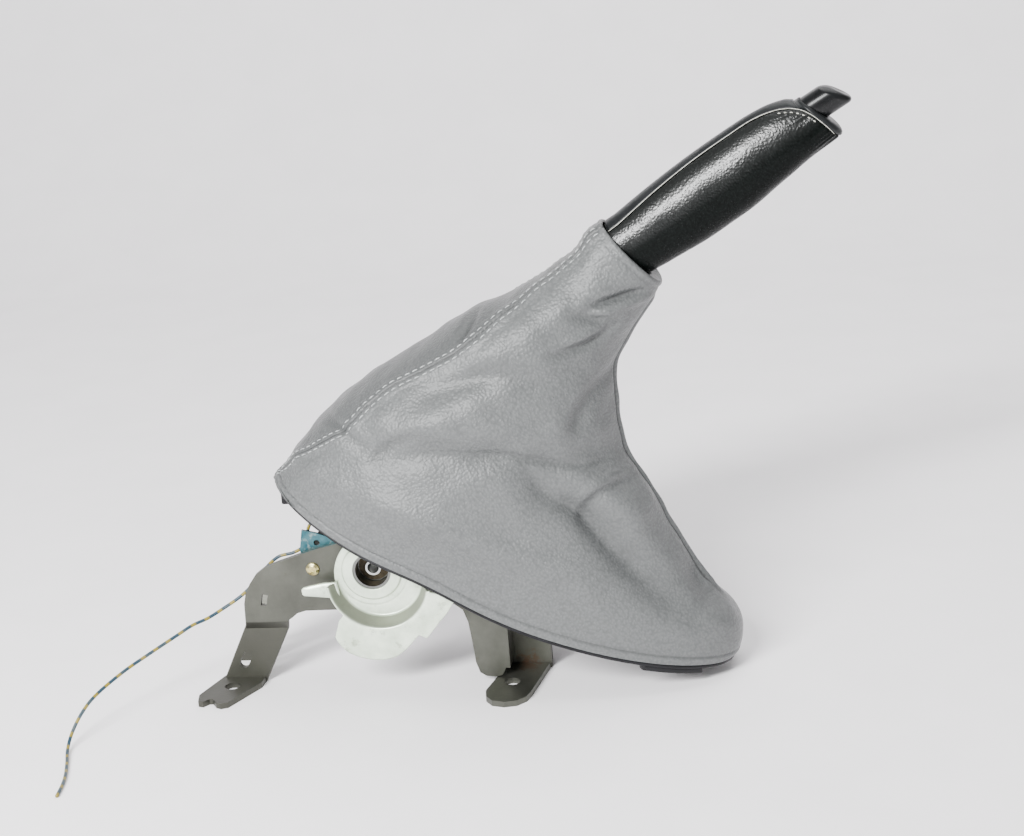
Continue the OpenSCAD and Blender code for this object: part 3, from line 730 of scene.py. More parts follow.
@dataclass
class Studio:
    """Camera at the photograph's angle, pale sweep and soft lights."""

    azimuth: float = 8.0
    elevation: float = 18.0
    roll: float = 4.5
    focal_pixels: float = 1900.0
    distance: float = 1055.0
    aim: Place = (89.0, 0.0, 151.0)
    sensor: float = 36.0
    lit: Place = (0.08, 0.0, 0.14)
    world_strength: float = 0.475
    floor_front: float = -3000.0
    bend_at: float = 900.0
    bend: float = 500.0
    wall_top: float = 3000.0
    half_width: float = 4000.0

    def camera(self) -> None:
        """Places the camera: its back vector from azimuth and elevation, then a roll about it."""
        a, e, r = np.radians([self.azimuth, self.elevation, self.roll])
        back = np.array([np.sin(a) * np.cos(e), -np.cos(a) * np.cos(e), np.sin(e)])
        level = np.array([np.cos(a), np.sin(a), 0.0])
        up = np.cross(back, level)
        right, top = np.cos(r) * level - np.sin(r) * up, np.sin(r) * level + np.cos(r) * up
        data = bpy.data.cameras.new("photo_camera")
        data.sensor_width = self.sensor
        data.lens = self.sensor * self.focal_pixels / PICTURE_WIDTH
        data.clip_start = 0.01
        camera = bpy.data.objects.new("photo_camera", data)
        stand(camera, right, top, back, (np.array(self.aim) + self.distance * back) * MM)
        bpy.context.scene.camera = camera

    def sweep(self) -> None:
        """Floor that curves up into a back wall: a YZ profile of floor, quarter arc and wall, carried along X."""
        a = np.linspace(0, np.pi / 2, 24)
        arc = np.stack([self.bend_at + self.bend * np.sin(a), self.bend - self.bend * np.cos(a)], -1)
        profile = np.concatenate([[[self.floor_front, 0]], arc, [[self.bend_at + self.bend, self.wall_top]]])
        x = np.linspace(-self.half_width, self.half_width, 9)[:, None]
        points = np.stack(np.broadcast_arrays(x, profile[None, :, 0], profile[None, :, 1]), -1)
        piece = make_piece("sweep", points, grid_faces(*points.shape[:2], False), closed=False)
        piece.data.materials.append(material_of(SWEEP_CARD))

    def lights(self) -> None:
        """Key from the left front, a broad lamp overhead for the floor, a low fill and a dim pale world."""
        for lamp in LAMPS:
            data = bpy.data.lights.new(lamp.name, "AREA")
            data.shape = "RECTANGLE"
            data.size, data.size_y = lamp.size
            data.energy = lamp.power
            back = unit(np.array(lamp.at) - np.array(self.lit))
            right = unit(np.array(lamp.along) - np.dot(lamp.along, back) * back)
            stand(bpy.data.objects.new(lamp.name, data), right, np.cross(back, right), back, lamp.at)
        world = bpy.data.worlds.new("studio_world")
        world.use_nodes = True
        glow = world.node_tree.nodes["Background"].inputs
        glow["Color"].default_value = (1.0, 1.0, 1.0, 1.0)
        glow["Strength"].default_value = self.world_strength
        bpy.context.scene.world = world

    def build(self) -> None:
        """Camera first, then floor and light."""
        self.camera()
        self.sweep()
        self.lights()


# The wire's route in millimetres, from the switch round the bracket and down to the floor.
ROUTE = ((-22.1, -10, 97), (-27, -10, 97.5), (-30.5, -10, 94), (-32.5, -10, 88), (-35, -10.5, 82), (-41, -11, 78.5),
         (-50, -12, 76.5), (-58, -13, 70), (-66, -14, 61), (-74, -15.5, 54), (-84, -20, 48.5), (-92, -25, 45),
         (-100, -30, 43), (-108, -36, 39.5), (-121, -47, 34), (-134, -60, 28.5), (-146, -74, 21.5), (-152, -83, 15),
         (-156, -91, 7), (-156, -100, 2), (-152, -113, 1), (-148, -127, 1), (-146, -138, 1), (-145, -149, 1))


@dataclass
class SignalWire:
    """Blue wire with yellow marker bands from the warning switch to its cut end on the floor."""

    diameter: float = 1.9
    sides: int = 12
    steps: int = 8
    hint: Place = (1.0, -1.0, 1.0)

    def build(self) -> None:
        """A round tube along the route; its UV counts the marker pitches along the wire."""
        path = smooth_path(ROUTE, self.steps)
        run = run_along(path)
        points, faces = closed_skin(swept_tube(path, self.diameter / 2, self.sides, self.hint))
        v = np.r_[np.repeat(run / WIRE_VINYL.pitch, self.sides), 0.0, run[-1] / WIRE_VINYL.pitch]
        wire = make_piece("signal_wire_sleeve", points, faces, uv=np.stack([np.zeros_like(v), v], -1))
        settle(wire, WIRE_VINYL, Body.BASE, "signal_wire")
        LOG.info("wire length %.1f mm", run[-1])


@dataclass(frozen=True)
class Fold:
    """One crease of the boot: a line of XZ points, its depth, half width, and the ridge beside it."""

    side: Side
    line: tuple[tuple[float, float], ...]
    depth: float
    width: float
    ridge: float = 0.0

    def lift(self, p: Array) -> Array:
        """Valley along the line with a ridge beside it, both fading to the line's ends.

        Args:
            p: points of the boot.

        Returns:
            Height along the normal, negative in the valley.
        """
        line = smooth_path(self.line, 6)
        a, b = line[:-1], line[1:]
        d = b - a
        rel = p[..., None, [0, 2]] - a
        t = np.clip((rel * d).sum(-1) / (d * d).sum(-1), 0, 1)
        gap = rel - t[..., None] * d
        far = np.linalg.norm(gap, axis=-1)
        k = far.argmin(-1)[..., None]
        size = np.take_along_axis(far, k, -1)[..., 0]
        turn = d[k[..., 0], 0] * np.take_along_axis(gap, k[..., None], -2)[..., 0, 1]
        turn = turn - d[k[..., 0], 1] * np.take_along_axis(gap, k[..., None], -2)[..., 0, 0]
        place = (k[..., 0] + np.take_along_axis(t, k, -1)[..., 0]) / len(a)
        fade = np.sin(np.pi * np.clip(0.04 + 0.92 * place, 0, 1)) ** 0.7
        fade = fade * ease(-2, 8, p[..., 1] * self.side.value)
        signed = np.sign(turn) * size
        ridge = self.ridge * bell(signed - 1.7 * self.width, self.width)
        return fade * (ridge - self.depth * bell(signed, self.width))


@dataclass(frozen=True)
class Bulge:
    """One full or hollow place of the boot: its XZ centre, height, and half widths along X and Z."""

    side: Side
    x: float
    z: float
    height: float
    wide: float
    tall: float

    def lift(self, p: Array) -> Array:
        """Gaussian hump over X and Z, kept to its own wall.

        Args:
            p: points of the boot.

        Returns:
            Height along the normal.
        """
        hump = np.exp(-(((p[..., 0] - self.x) / self.wide) ** 2) - ((p[..., 2] - self.z) / self.tall) ** 2)
        return self.height * hump * ease(-2, 10, p[..., 1] * self.side.value)


FOLDS = (
    Fold(Side.NEAR, ((173, 225), (161, 223), (149, 221), (136, 218)), 3.6, 2.6, 2.0),
    Fold(Side.NEAR, ((128, 216), (138, 213), (150, 208)), 2.4, 3.0, 1.4),
    Fold(Side.NEAR, ((117, 195), (127, 197), (135, 199), (142, 202), (151, 207)), 2.6, 2.6, 1.4),
    Fold(Side.NEAR, ((14, 149), (47, 147), (77, 144), (103, 140), (126, 135), (146, 134)), 3.75, 8.0, 1.4),
    Fold(Side.NEAR, ((46, 147), (71, 145), (91, 143), (110, 138), (131, 132), (143, 132)), 1.9, 1.7, 0.7),
    Fold(Side.NEAR, ((2, 126), (28, 116), (44, 109), (68, 96), (90, 86), (110, 77), (130, 68)), -3.6, 9.0),
    Fold(Side.NEAR, ((103, 129), (125, 110), (134, 101), (158, 68), (184, 44)), 6.5, 8.5, 2.6),
    Fold(Side.NEAR, ((100, 135), (106, 125), (113, 116), (128, 106), (142, 86), (158, 70)), 1.7, 3.6, 1.0),
    Fold(Side.NEAR, ((129, 103), (133, 112), (141, 118), (155, 117)), 2.4, 2.6, 1.6),
    Fold(Side.NEAR, ((182, 68), (189, 57), (198, 42)), 3.4, 4.5, 1.6),
    Fold(Side.NEAR, ((67, 203), (70, 208), (76, 216)), 2.6, 1.8, 1.0),
    Fold(Side.NEAR, ((-14, 161), (0, 157), (13, 149)), 1.9, 2.8, 1.2),
    Fold(Side.NEAR, ((15, 138), (21, 147), (30, 153), (46, 158)), 1.8, 2.4, 1.0),
    Fold(Side.NEAR, ((126, 148), (131, 162), (138, 172), (148, 181)), 2.4, 4.5, 1.0),
    Fold(Side.NEAR, ((118, 148), (117, 160), (115, 174)), -1.6, 6.5),
    Fold(Side.NEAR, ((34, 170), (60, 182), (86, 187), (112, 182)), 3.0, 6.5),
    Fold(Side.FAR, ((171, 223), (160, 221), (150, 215)), 3.0, 3.2, 1.5),
    Fold(Side.FAR, ((10, 142), (44, 139), (80, 141), (112, 136), (144, 128)), 3.75, 8.0, 1.4),
    Fold(Side.FAR, ((96, 118), (120, 104), (146, 78), (178, 50)), 5.0, 8.5, 2.0),
    Fold(Side.FAR, ((126, 196), (136, 201), (147, 199)), 2.2, 3.2, 1.2),
    Fold(Side.FAR, ((58, 182), (84, 178), (104, 168)), 1.8, 4.0, 1.0),
)
BULGES = (
    Bulge(Side.NEAR, 46, 116, 4.0, 46, 20),
    Bulge(Side.NEAR, 54, 166, 3.6, 38, 14),
    Bulge(Side.NEAR, 157, 103, 3.6, 14, 15),
    Bulge(Side.NEAR, 108, 124, -2.4, 9, 11),
    Bulge(Side.FAR, 52, 112, 3.6, 46, 20),
    Bulge(Side.FAR, 66, 164, 3.0, 38, 15),
    Bulge(Side.FAR, 152, 92, 2.4, 16, 16),
)
# Slow waves of the slack hide: X, Y and Z turns in radians per millimetre, and phase.
RIPPLES = ((0.21, 0.11, 0.16, 0.4), (-0.15, 0.19, 0.25, 1.9), (0.34, -0.22, 0.12, 3.1), (0.12, 0.3, -0.37, 5.0))


@dataclass
class Boot:
    """Sewn leather boot from the plastic rim to the neck of the grip, on its plastic frame."""

    thickness: float = 1.3
    rows: int = 132
    front_columns: int = 166
    top_columns: int = 34
    seam_reach: float = 8.0
    stitch_offset: float = 2.6
    stitch_pitch: float = 4.8
    stitch_length: float = 3.3
    thread_radius: float = 0.4
    levels: tuple[float, ...] = (0, 0.1, 0.2, 0.3, 0.4, 0.5, 0.6, 0.7, 0.8, 0.9, 0.95, 1)
    rear_x: tuple[float, ...] = (-47, -45, -35, -15, 11, 42, 69, 93, 111, 131, 137.2, 145.4)
    rear_z: tuple[float, ...] = (122.5, 131, 139.5, 160, 179.5, 197, 213, 222, 232, 246, 254.6, 260.2)
    front_x: tuple[float, ...] = (207, 211.5, 195.5, 178, 164, 151.5, 147.8, 148.5, 155.5, 166, 171.2, 176.5)
    front_z: tuple[float, ...] = (9.75, 44, 51, 79, 107, 131, 158, 180, 195, 210, 218, 226)
    half_width: tuple[float, ...] = (48, 48, 47, 45, 43, 39.5, 36, 31, 26, 21.5, 19.9, 18.4)
    seam_level: tuple[float, ...] = (0, 0.1, 0.2, 0.26, 0.3, 0.33, 0.365, 0.4, 0.44, 0.483, 0.533, 0.59, 0.663, 0.743,
                                     0.826, 0.894, 0.956, 1)
    seam_angle: tuple[float, ...] = (183, 185, 194.5, 204.5, 210.8, 212.6, 212.0, 211.2, 211.8, 214.6, 218.6, 220.4,
                                     213.6, 206.5, 203, 202.5, 205, 206)
    painted_top_shade: float = 0.42
    painted_neck_shade: float = 0.17
    turned_in: tuple[float, ...] = (0.15, 0.35, 0.6, 0.85, 1.0)
    flat: tuple[float, float] = (460.0, 300.0)
    axis: Place = (0.344, 0.0, 0.939)
    foot: Place = (80.0, 0.0, 66.5)
    bend: tuple[float, float] = (3.0, 178.0)
    step: float = 1e-3

    def rim_height(self, x: Array) -> Array:
        """Height of the rim over X: a shallow parabola with a rise over the pivot."""
        return 48.4 - 0.444 * (x - 80) + 0.0011 * (x - 80) ** 2 + 4.2 * bell(x - 40, 30)

    def form(self, a: Array, v: Array) -> Array:
        """Smooth boot: superellipse rings between the rear and front profiles, drawn to an edge at the front.

        Args:
            a: angle round the ring, 0 at the front and pi at the rear.
            v: level from 0 at the rim to 1 at the neck.

        Returns:
            Points in millimetres.
        """
        rx, rz, fx, fz, w = (spline(self.levels, k, v) for k in (
            self.rear_x, self.rear_z, self.front_x, self.front_z, self.half_width))
        p = 0.78 + 0.17 * np.minimum(1, 2 * v)
        run = 0.5 + 0.5 * signed_power(np.cos(a), p)
        lean = 1 - 0.25 * np.minimum(1, 3 * v) * np.minimum(1, 4 * (1 - v)) * np.cos(a)
        edge = ease(0.05, 0.3, v) * (1 - ease(0.82, 1, v))
        pinch = 1 - 0.5 * edge * np.exp(-((1 - np.cos(a)) / 0.12))
        y = w * signed_power(np.sin(a), p) * lean * pinch
        x = rx + (fx - rx) * run
        z = rz + (fz - rz) * run
        low = np.minimum(1, 5 * v)
        return np.stack([x, y, self.rim_height(x) * (1 - low) + z * low], -1)

    def skin(self, a: Array, v: Array, seam: Array) -> tuple[Array, Array, Array]:
        """Boot with seams, hems, bulges and folds raised along the normal of the smooth form.

        Args:
            a: angle round the ring.
            v: level.
            seam: distance in millimetres from the nearest seam line.

        Returns:
            Points, outward normals, and a fold mark from 0 on the open hide to 1 in the creases: painted shade in the
            creases, with darker seam and hem lines.
        """
        p = self.form(a, v)
        da = self.form(a + self.step, v) - self.form(a - self.step, v)
        dv = self.form(a, np.minimum(v + self.step, 1)) - self.form(a, np.maximum(v - self.step, 0))
        n = unit(np.cross(da, dv))
        open_hide = ease(0.03, 0.14, v) * (1 - ease(0.93, 0.99, v))
        lift = np.zeros_like(v)
        mark = np.zeros_like(v)
        # Painted shade: each crease also darkens the fold mark by its depth.
        for fold in FOLDS:
            crease = fold.lift(p) * open_hide
            lift = lift + crease
            mark = mark + np.clip(-crease / max(fold.width, 3.0), 0, 1) * 0.45
        for bulge in BULGES:
            lift = lift + bulge.lift(p) * open_hide
        for k, (kx, ky, kz, phase) in enumerate(RIPPLES):
            lift = lift + 0.22 / (1 + 0.3 * k) * open_hide * np.sin(
                kx * p[..., 0] + ky * p[..., 1] + kz * p[..., 2] + phase)
        # The sewn seams: a raised band with a groove on the line.
        lift = lift + 0.6 * (1 - ease(3.6, 6.5, np.abs(seam))) - 0.9 * bell(seam, 0.6)
        mark = mark + 0.8 * bell(seam, 0.55)
        # The closing seam down the front edge.
        front = ease(0.6, 0.8, np.cos(a)) * ease(0.14, 0.22, v) * (1 - ease(0.93, 0.97, v))
        lift = lift + (1.3 * bell(p[..., 1] - 1.0, 1.3) - 1.0 * bell(p[..., 1] + 1.7, 0.9)) * front
        mark = mark + 1.0 * bell(p[..., 1] + 1.7, 0.8) * front
        # The hem at the rim, then the hem at the neck.
        up = np.linalg.norm(p - self.form(a, np.zeros_like(v)), axis=-1)
        lift = lift + 0.45 * (1 - ease(3.6, 4.4, up)) - 0.55 * bell(up - 4.6, 0.6)
        mark = mark + 0.7 * bell(up - 4.6, 0.5)
        down = np.linalg.norm(p - self.form(a, np.ones_like(v)), axis=-1)
        lift = lift + 0.3 * (1 - ease(2.4, 3.6, down)) - 0.2 * bell(down - 4.0, 0.7) - 1.0 * bell(down, 0.7)
        mark = mark + 0.2 * bell(down - 4.0, 0.6)
        return p + n * lift[..., None], n, np.clip(mark, 0, 1)

    def seam_course(self, v: Array) -> tuple[Array, Array, Array]:
        """Course of the near seam; the far one mirrors it.

        Args:
            v: levels.

        Returns:
            Its angle, the hide's length to a radian there, and half the width of the band beside it.
        """
        near = np.radians(spline(self.seam_level, self.seam_angle, v))
        beside = self.form(near + self.step, v) - self.form(near - self.step, v)
        rate = np.linalg.norm(beside, axis=-1) / (2 * self.step)
        return near, rate, np.minimum(self.seam_reach, 0.9 * (near - np.pi) * rate)

    def levels_up(self) -> Array:
        """Levels of the grid's rows, closer together at the two hems."""
        return np.concatenate([np.linspace(0, 0.06, 16, endpoint=False),
                               np.linspace(0.06, 0.95, self.rows - 30, endpoint=False), np.linspace(0.95, 1, 14)])

    def columns(self, v: Array) -> tuple[Array, Array]:
        """Angles of the grid's columns: bands that follow the two seams, and even steps between them.

        Args:
            v: the rows' levels.

        Returns:
            Angle and seam distance for each row and column.
        """
        near, rate, reach = self.seam_course(v)
        share = np.array([0.04, 0.09, 0.14, 0.19, 0.25, 0.31, 0.37, 0.44, 0.52, 0.61, 0.71, 0.83, 1.0])
        share = np.r_[-share[::-1], 0.0, share]
        off = share[None] * reach[:, None]
        band = off / rate[:, None]
        far = 2 * np.pi - near
        t = np.linspace(0, 1, self.front_columns + 2)[1:-1][None]
        front_from, front_to = near + reach / rate, 2 * np.pi + far - reach / rate
        front = front_from[:, None] * (1 - t) + front_to[:, None] * t
        t = np.linspace(0, 1, self.top_columns + 2)[1:-1][None]
        top_from, top_to = 2 * np.pi + far + reach / rate, 2 * np.pi + near - reach / rate
        top = top_from[:, None] * (1 - t) + top_to[:, None] * t
        clear = 99.0
        angle = np.concatenate([near[:, None] + band, front, 2 * np.pi + far[:, None] + band, top], 1)
        seam = np.concatenate([off, np.full_like(front, clear), off, np.full_like(top, clear)], 1)
        return angle, seam

    def hide(self) -> tuple[bpy.types.Object, float]:
        """The sewn hide as one thick sheet, turned in at the neck to lie on the grip.

        Returns:
            The piece, and its area in square millimetres.
        """
        v = self.levels_up()
        angle, seam = self.columns(v)
        points, _, mark = self.skin(angle, np.broadcast_to(v[:, None], angle.shape), seam)
        hem = Grip().touching(points[-1], 3.0, 0.45)
        t = np.array(self.turned_in)[:, None, None]
        points = np.concatenate([points, points[-1] * (1 - t) + hem * t])
        # Painted shade: the top panel between the seams and the upper boot towards the neck are darkened through the
        # fold mark, and so is the hem turned in under the grip.
        top = np.cos(angle) < np.cos(self.seam_course(v)[0])[:, None]
        mark = mark + self.painted_top_shade * top + self.painted_neck_shade * ease(0.3, 0.7, v)[:, None]
        mark = np.clip(mark, 0, 1)
        mark = np.concatenate([mark, np.broadcast_to(0.6 * t[..., 0], (len(t), mark.shape[1]))])
        quads = grid_faces(*mark.shape, True)
        piece = make_piece("boot_hide", points, quads, closed=False,
                           marks={"fold": mark, "polish": np.ones_like(mark)})
        wall = piece.modifiers.new("hide_thickness", "SOLIDIFY")
        wall.thickness = self.thickness * MM
        wall.offset = -1.0
        wall.use_even_offset = False
        dress(piece, BOOT_HIDE)
        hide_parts("boot")
        corner = points.reshape(-1, 3)[quads]
        twice = np.cross(corner[:, 2] - corner[:, 0], corner[:, 3] - corner[:, 1])
        area = 0.5 * np.linalg.norm(twice, axis=-1).sum()
        LOG.info("boot hide %.0f square mm", area)
        return piece, float(area)

    def stitches(self) -> bpy.types.Object:
        """Two rows of topstitching beside each of the two seams.

        Returns:
            The thread as one piece.
        """
        v = np.linspace(0.03, 0.985, 700)
        near, rate, reach = self.seam_course(v)
        rows = []
        for centre in (near, 2 * np.pi - near):
            for beside in (-self.stitch_offset, self.stitch_offset):
                off = beside * (reach / self.seam_reach)
                p, n, _ = self.skin(centre + off / rate, v, off)
                rows.append(stitch_row(p, n, self.stitch_pitch, self.stitch_length, self.thread_radius))
        return dress(make_piece("boot_topstitching", *joined(rows)), BOOT_THREAD)

    def rim_point(self, a: Array, inset: Array, height: Array) -> Array:
        """Points of the rim's superellipse plan.

        Args:
            a: angle round the rim.
            inset: distance inside the plan.
            height: height over the rim.

        Returns:
            Points in millimetres.
        """
        x = 80 + (127 - inset) * signed_power(np.cos(a), 0.78)
        y = (48 - inset) * signed_power(np.sin(a), 0.78)
        return np.stack([x, y, self.rim_height(x) + height], -1)

    def frame(self) -> None:
        """Plastic rim frame: a flat section with eased corners carried round the rim, two clips and a rear peg."""
        section = np.array([(0.0, -1.9), (0.5, -2.4), (5.0, -2.4), (5.5, -1.9), (5.5, -0.8), (5.0, -0.3), (0.5, -0.3),
                            (0.0, -0.8)])
        a = np.linspace(0, 2 * np.pi, 320, endpoint=False)[:, None]
        ring = self.rim_point(a, section[None, :, 0], section[None, :, 1])
        parts = [(ring, grid_faces(*ring.shape[:2], True, True))]
        clip = np.array([(1.2, -5.3), (1.7, -5.8), (4.1, -5.8), (4.6, -5.3), (4.6, -1.4), (1.2, -1.4)])
        for low, high in ((34, 58), (302, 326)):
            b = np.radians(np.linspace(low, high, 24))[:, None]
            parts.append(closed_skin(self.rim_point(b, clip[None, :, 0], clip[None, :, 1])))
        peg = np.array([(0.0, 0.6), (0.6, 0.0), (4.2, 0.0), (4.8, 0.6), (4.8, 14.4), (0.0, 14.4)])
        peg = peg + np.array([-46.8, self.rim_height(np.array(-44.0)) - 15.5])
        parts.append(eased_bar(peg, (-3.0, -2.6, 2.6, 3.0), (0.85, 1.0, 1.0, 0.85)))
        piece = make_piece("boot_rim_frame", *joined(parts))
        settle(piece, FRAME_PLASTIC, Body.BASE, "boot_frame")

    def build(self) -> None:
        """Frame, then hide and thread, with their transforms applied to their meshes."""
        self.frame()
        hide, area = self.hide()
        thread = self.stitches()
        for piece in (hide, thread):
            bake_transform(piece)


@dataclass
class Grip:
    """Leather-wrapped grip with its smooth top strip, piping, end collar and release button."""

    length: float = 118.0
    neck: tuple[float, float] = (162.0, 247.0)
    pitch_angle: float = 31.2
    half_width: float = 16.5
    up_keys: tuple[float, ...] = (0, 0.2, 0.4, 0.6, 0.75, 0.88, 0.95, 1)
    up: tuple[float, ...] = (18, 20.4, 22, 22.6, 22.4, 20.8, 18.6, 16.2)
    down_keys: tuple[float, ...] = (0, 0.2, 0.4, 0.55, 0.7, 0.85, 1)
    down: tuple[float, ...] = (18, 19.6, 19.8, 18.8, 16.5, 13.8, 12.6)
    wide_keys: tuple[float, ...] = (0, 0.2, 0.45, 0.65, 0.85, 1)
    wide: tuple[float, ...] = (0.9, 0.97, 1, 0.97, 0.85, 0.7)
    end_lean: float = 0.3
    edge_at: tuple[float, ...] = (-8, 0, 30, 54, 74, 91, 100, 108, 113, 115.3)
    edge_angle: tuple[float, ...] = (129, 127, 118, 114, 113.5, 114, 118, 124, 133, 141)
    strip_from: float = -6.0
    strip_to: float = 115.2
    tail_at: tuple[float, ...] = (116.4, 117.2, 117.5, 117.5, 117.3, 116.8)
    tail_angle: tuple[float, ...] = (150, 161, 174, 190, 206, 222)
    button_high: float = 7.9
    button_wide: float = 8.6
    button_rise: float = 7.3
    button_lean: float = 0.62

    def place(self, s: Array, y: Array, n: Array) -> Array:
        """Points given along the grip's axis.

        Args:
            s: distance along the axis from the neck.
            y: distance sideways.
            n: height above the axis.

        Returns:
            Points in millimetres.
        """
        g = np.radians(self.pitch_angle)
        return np.stack([self.neck[0] + s * np.cos(g) - n * np.sin(g), y + 0 * s,
                         self.neck[1] + s * np.sin(g) + n * np.cos(g)], -1)

    def form(self, s: Array, a: Array, out: Union[Array, float]) -> Array:
        """Grip surface: half ellipses above and below the axis whose sizes follow splines along the grip.

        Args:
            s: distance along the grip.
            a: section angle, pi/2 on top and pi on the near side.
            out: height above the hide.

        Returns:
            Points in millimetres.
        """
        t = s / self.length
        tall = np.where(np.sin(a) > 0, spline(self.up_keys, self.up, t), spline(self.down_keys, self.down, t))
        w = self.half_width * spline(self.wide_keys, self.wide, t)
        n = (tall + out) * np.sin(a)
        lean = self.end_lean * np.clip((t - 0.72) / 0.28, 0, 1)
        return self.place(s - lean * n, (w + out) * np.cos(a), n)

    def touching(self, p: Array, back: float, out: float) -> Array:
        """Points of the grip's surface beside given points.

        Args:
            p: points round the grip.
            back: how much nearer to the neck the result lies.
            out: height above the hide.

        Returns:
            Points in millimetres.
        """
        g = np.radians(self.pitch_angle)
        rel = p - np.array([self.neck[0], 0.0, self.neck[1]])
        s = rel[..., 0] * np.cos(g) + rel[..., 2] * np.sin(g)
        n = rel[..., 2] * np.cos(g) - rel[..., 0] * np.sin(g)
        return self.form(np.maximum(s - back, -7.5), np.arctan2(n, rel[..., 1]), out)

    def edge(self, s: Array) -> Array:
        """Section angle of the near edge of the top strip."""
        return np.radians(spline(self.edge_at, self.edge_angle, s))

    def hide(self) -> None:
        """Wrapped hide: the form with puckers gathered towards the stitched end, sunk under the top strip."""
        s = np.concatenate([np.linspace(-8, 100, 90, endpoint=False), np.linspace(100, 117.6, 44)])
        a = np.linspace(0, 2 * np.pi, 180, endpoint=False)
        ss, aa = np.meshgrid(s, a, indexing="ij")
        turn = np.where(aa > 1.5 * np.pi, 2.5 * np.pi - aa, np.abs(np.pi / 2 - aa))
        under = 1 - ease(-0.02, 0.06, turn - (self.edge(ss) - np.pi / 2))
        reach = 106 + 3 * np.sin(7 * aa + 0.6) + 2 * np.sin(11 * aa)
        pucker = ease(-6, 9, ss - reach) * 0.2 * np.sin(23 * aa + 2.6 * np.sin(5 * aa) + 0.12 * ss) * (1 - under)
        belly = 0.12 * np.sin(0.21 * ss + 2 * np.sin(2 * aa)) * ease(0, 12, ss) * (1 - ease(85, 100, ss))
        roll = -0.9 * ease(115.5, 117.6, ss) ** 2
        seam = -0.8 * bell(self.half_width * (aa - 1.5 * np.pi), 0.7) * ease(-4, 4, ss)
        points = self.form(ss, aa, pucker + belly + roll + seam - 0.9 * under)
        inner = self.form(ss[::-1], aa, roll[::-1] - 1.2)
        rings = np.concatenate([points, inner])
        # Painted shade in the puckers through the fold mark; the seam groove is a dark joint.
        mark = np.concatenate([np.clip(-pucker * 1.6, 0, 1) + np.clip(-seam, 0, 1), np.zeros_like(ss)])
        # Painted shade: the coat fades out on the underside, which then shows no reflection.
        coat_share_with_painted_shade = np.tile(ease(-0.1, 0.32, np.sin(aa)), (2, 1))
        piece = make_piece("grip_hide", rings, grid_faces(*rings.shape[:2], True, True),
                           marks={"fold": np.clip(mark, 0, 1), "polish": coat_share_with_painted_shade})
        settle(piece, GRIP_HIDE, Body.LEVER, "grip_leather")

    def strip(self) -> None:
        """Smooth top strip: a shallow crown between its two edges, thickened down into its channel."""
        s = np.concatenate([np.linspace(self.strip_from, 100, 70, endpoint=False), np.linspace(100, self.strip_to, 28)])
        u = np.linspace(-1, 1, 41)
        ss, uu = np.meshgrid(s, u, indexing="ij")
        half = self.edge(ss) - np.pi / 2 - 0.03
        crown = 0.75 - 0.75 * np.abs(uu) ** 5 - 0.8 * ease(112, self.strip_to, ss)
        top = self.form(ss, np.pi / 2 + uu * half, crown)
        low = self.form(ss, np.pi / 2 + uu[:, ::-1] * half, -0.75)
        rings = np.concatenate([top, low], 1)
        rows, cols = rings.shape[:2]
        j = np.arange(cols // 2 - 1)
        ends = np.stack([j, j + 1, cols - 2 - j, cols - 1 - j], -1)
        faces = np.concatenate([grid_faces(rows, cols, True), ends, ends + (rows - 1) * cols])
        piece = make_piece("grip_strip", rings, faces)
        settle(piece, STRIP_PLASTIC, Body.LEVER, "grip_top_strip")

    def piping(self) -> None:
        """Thin pale piping along both edges of the strip and down round the end, with stitches beside it."""
        piped, sewn = np.linspace(self.strip_from, self.strip_to, 60), np.linspace(103, self.strip_to, 40)
        tail = np.radians(self.tail_angle)
        tube_at, tube_turn = np.r_[piped, self.tail_at], np.r_[self.edge(piped), tail]
        row_at, row_turn = np.r_[sewn, self.tail_at[:3]] - 1.7, np.r_[self.edge(sewn), tail[:3]] + 0.13
        tubes, rows = [], []
        for side in Side:
            turn, beside = tube_turn, row_turn
            if side is Side.FAR:
                turn, beside = np.pi - turn, np.pi - beside
            path = smooth_path(self.form(tube_at, turn, 0.25), 3)
            tubes.append(closed_skin(swept_tube(path, 0.2, 8, (0.2, side.value, 0.3))))
            line = smooth_path(self.form(row_at, beside, 0.1), 4)
            above = smooth_path(self.form(row_at, beside, 1.1), 4)
            rows.append(stitch_row(line, unit(above - line), 3.2, 1.5, 0.38))
        for name, parts in (("grip_piping", tubes), ("grip_stitches", rows)):
            settle(make_piece(name, *joined(parts)), GRIP_THREAD, Body.LEVER)

    def ovals(self, rows: Sequence[tuple[float, float, float, float, float]], count: int) -> Array:
        """Superellipse rings across the grip axis.

        Args:
            rows: along, half height, half width, rise and forward lean of each ring.
            count: points round a ring.

        Returns:
            The rings.
        """
        a = np.linspace(0, 2 * np.pi, count, endpoint=False)[None]
        s, h, w, rise, lean = (np.array(rows, float)[:, i][:, None] for i in range(5))
        n = h * signed_power(np.sin(a), 0.85)
        return self.place(s - lean * (n + rise), w * signed_power(np.cos(a), 0.85), rise + n)

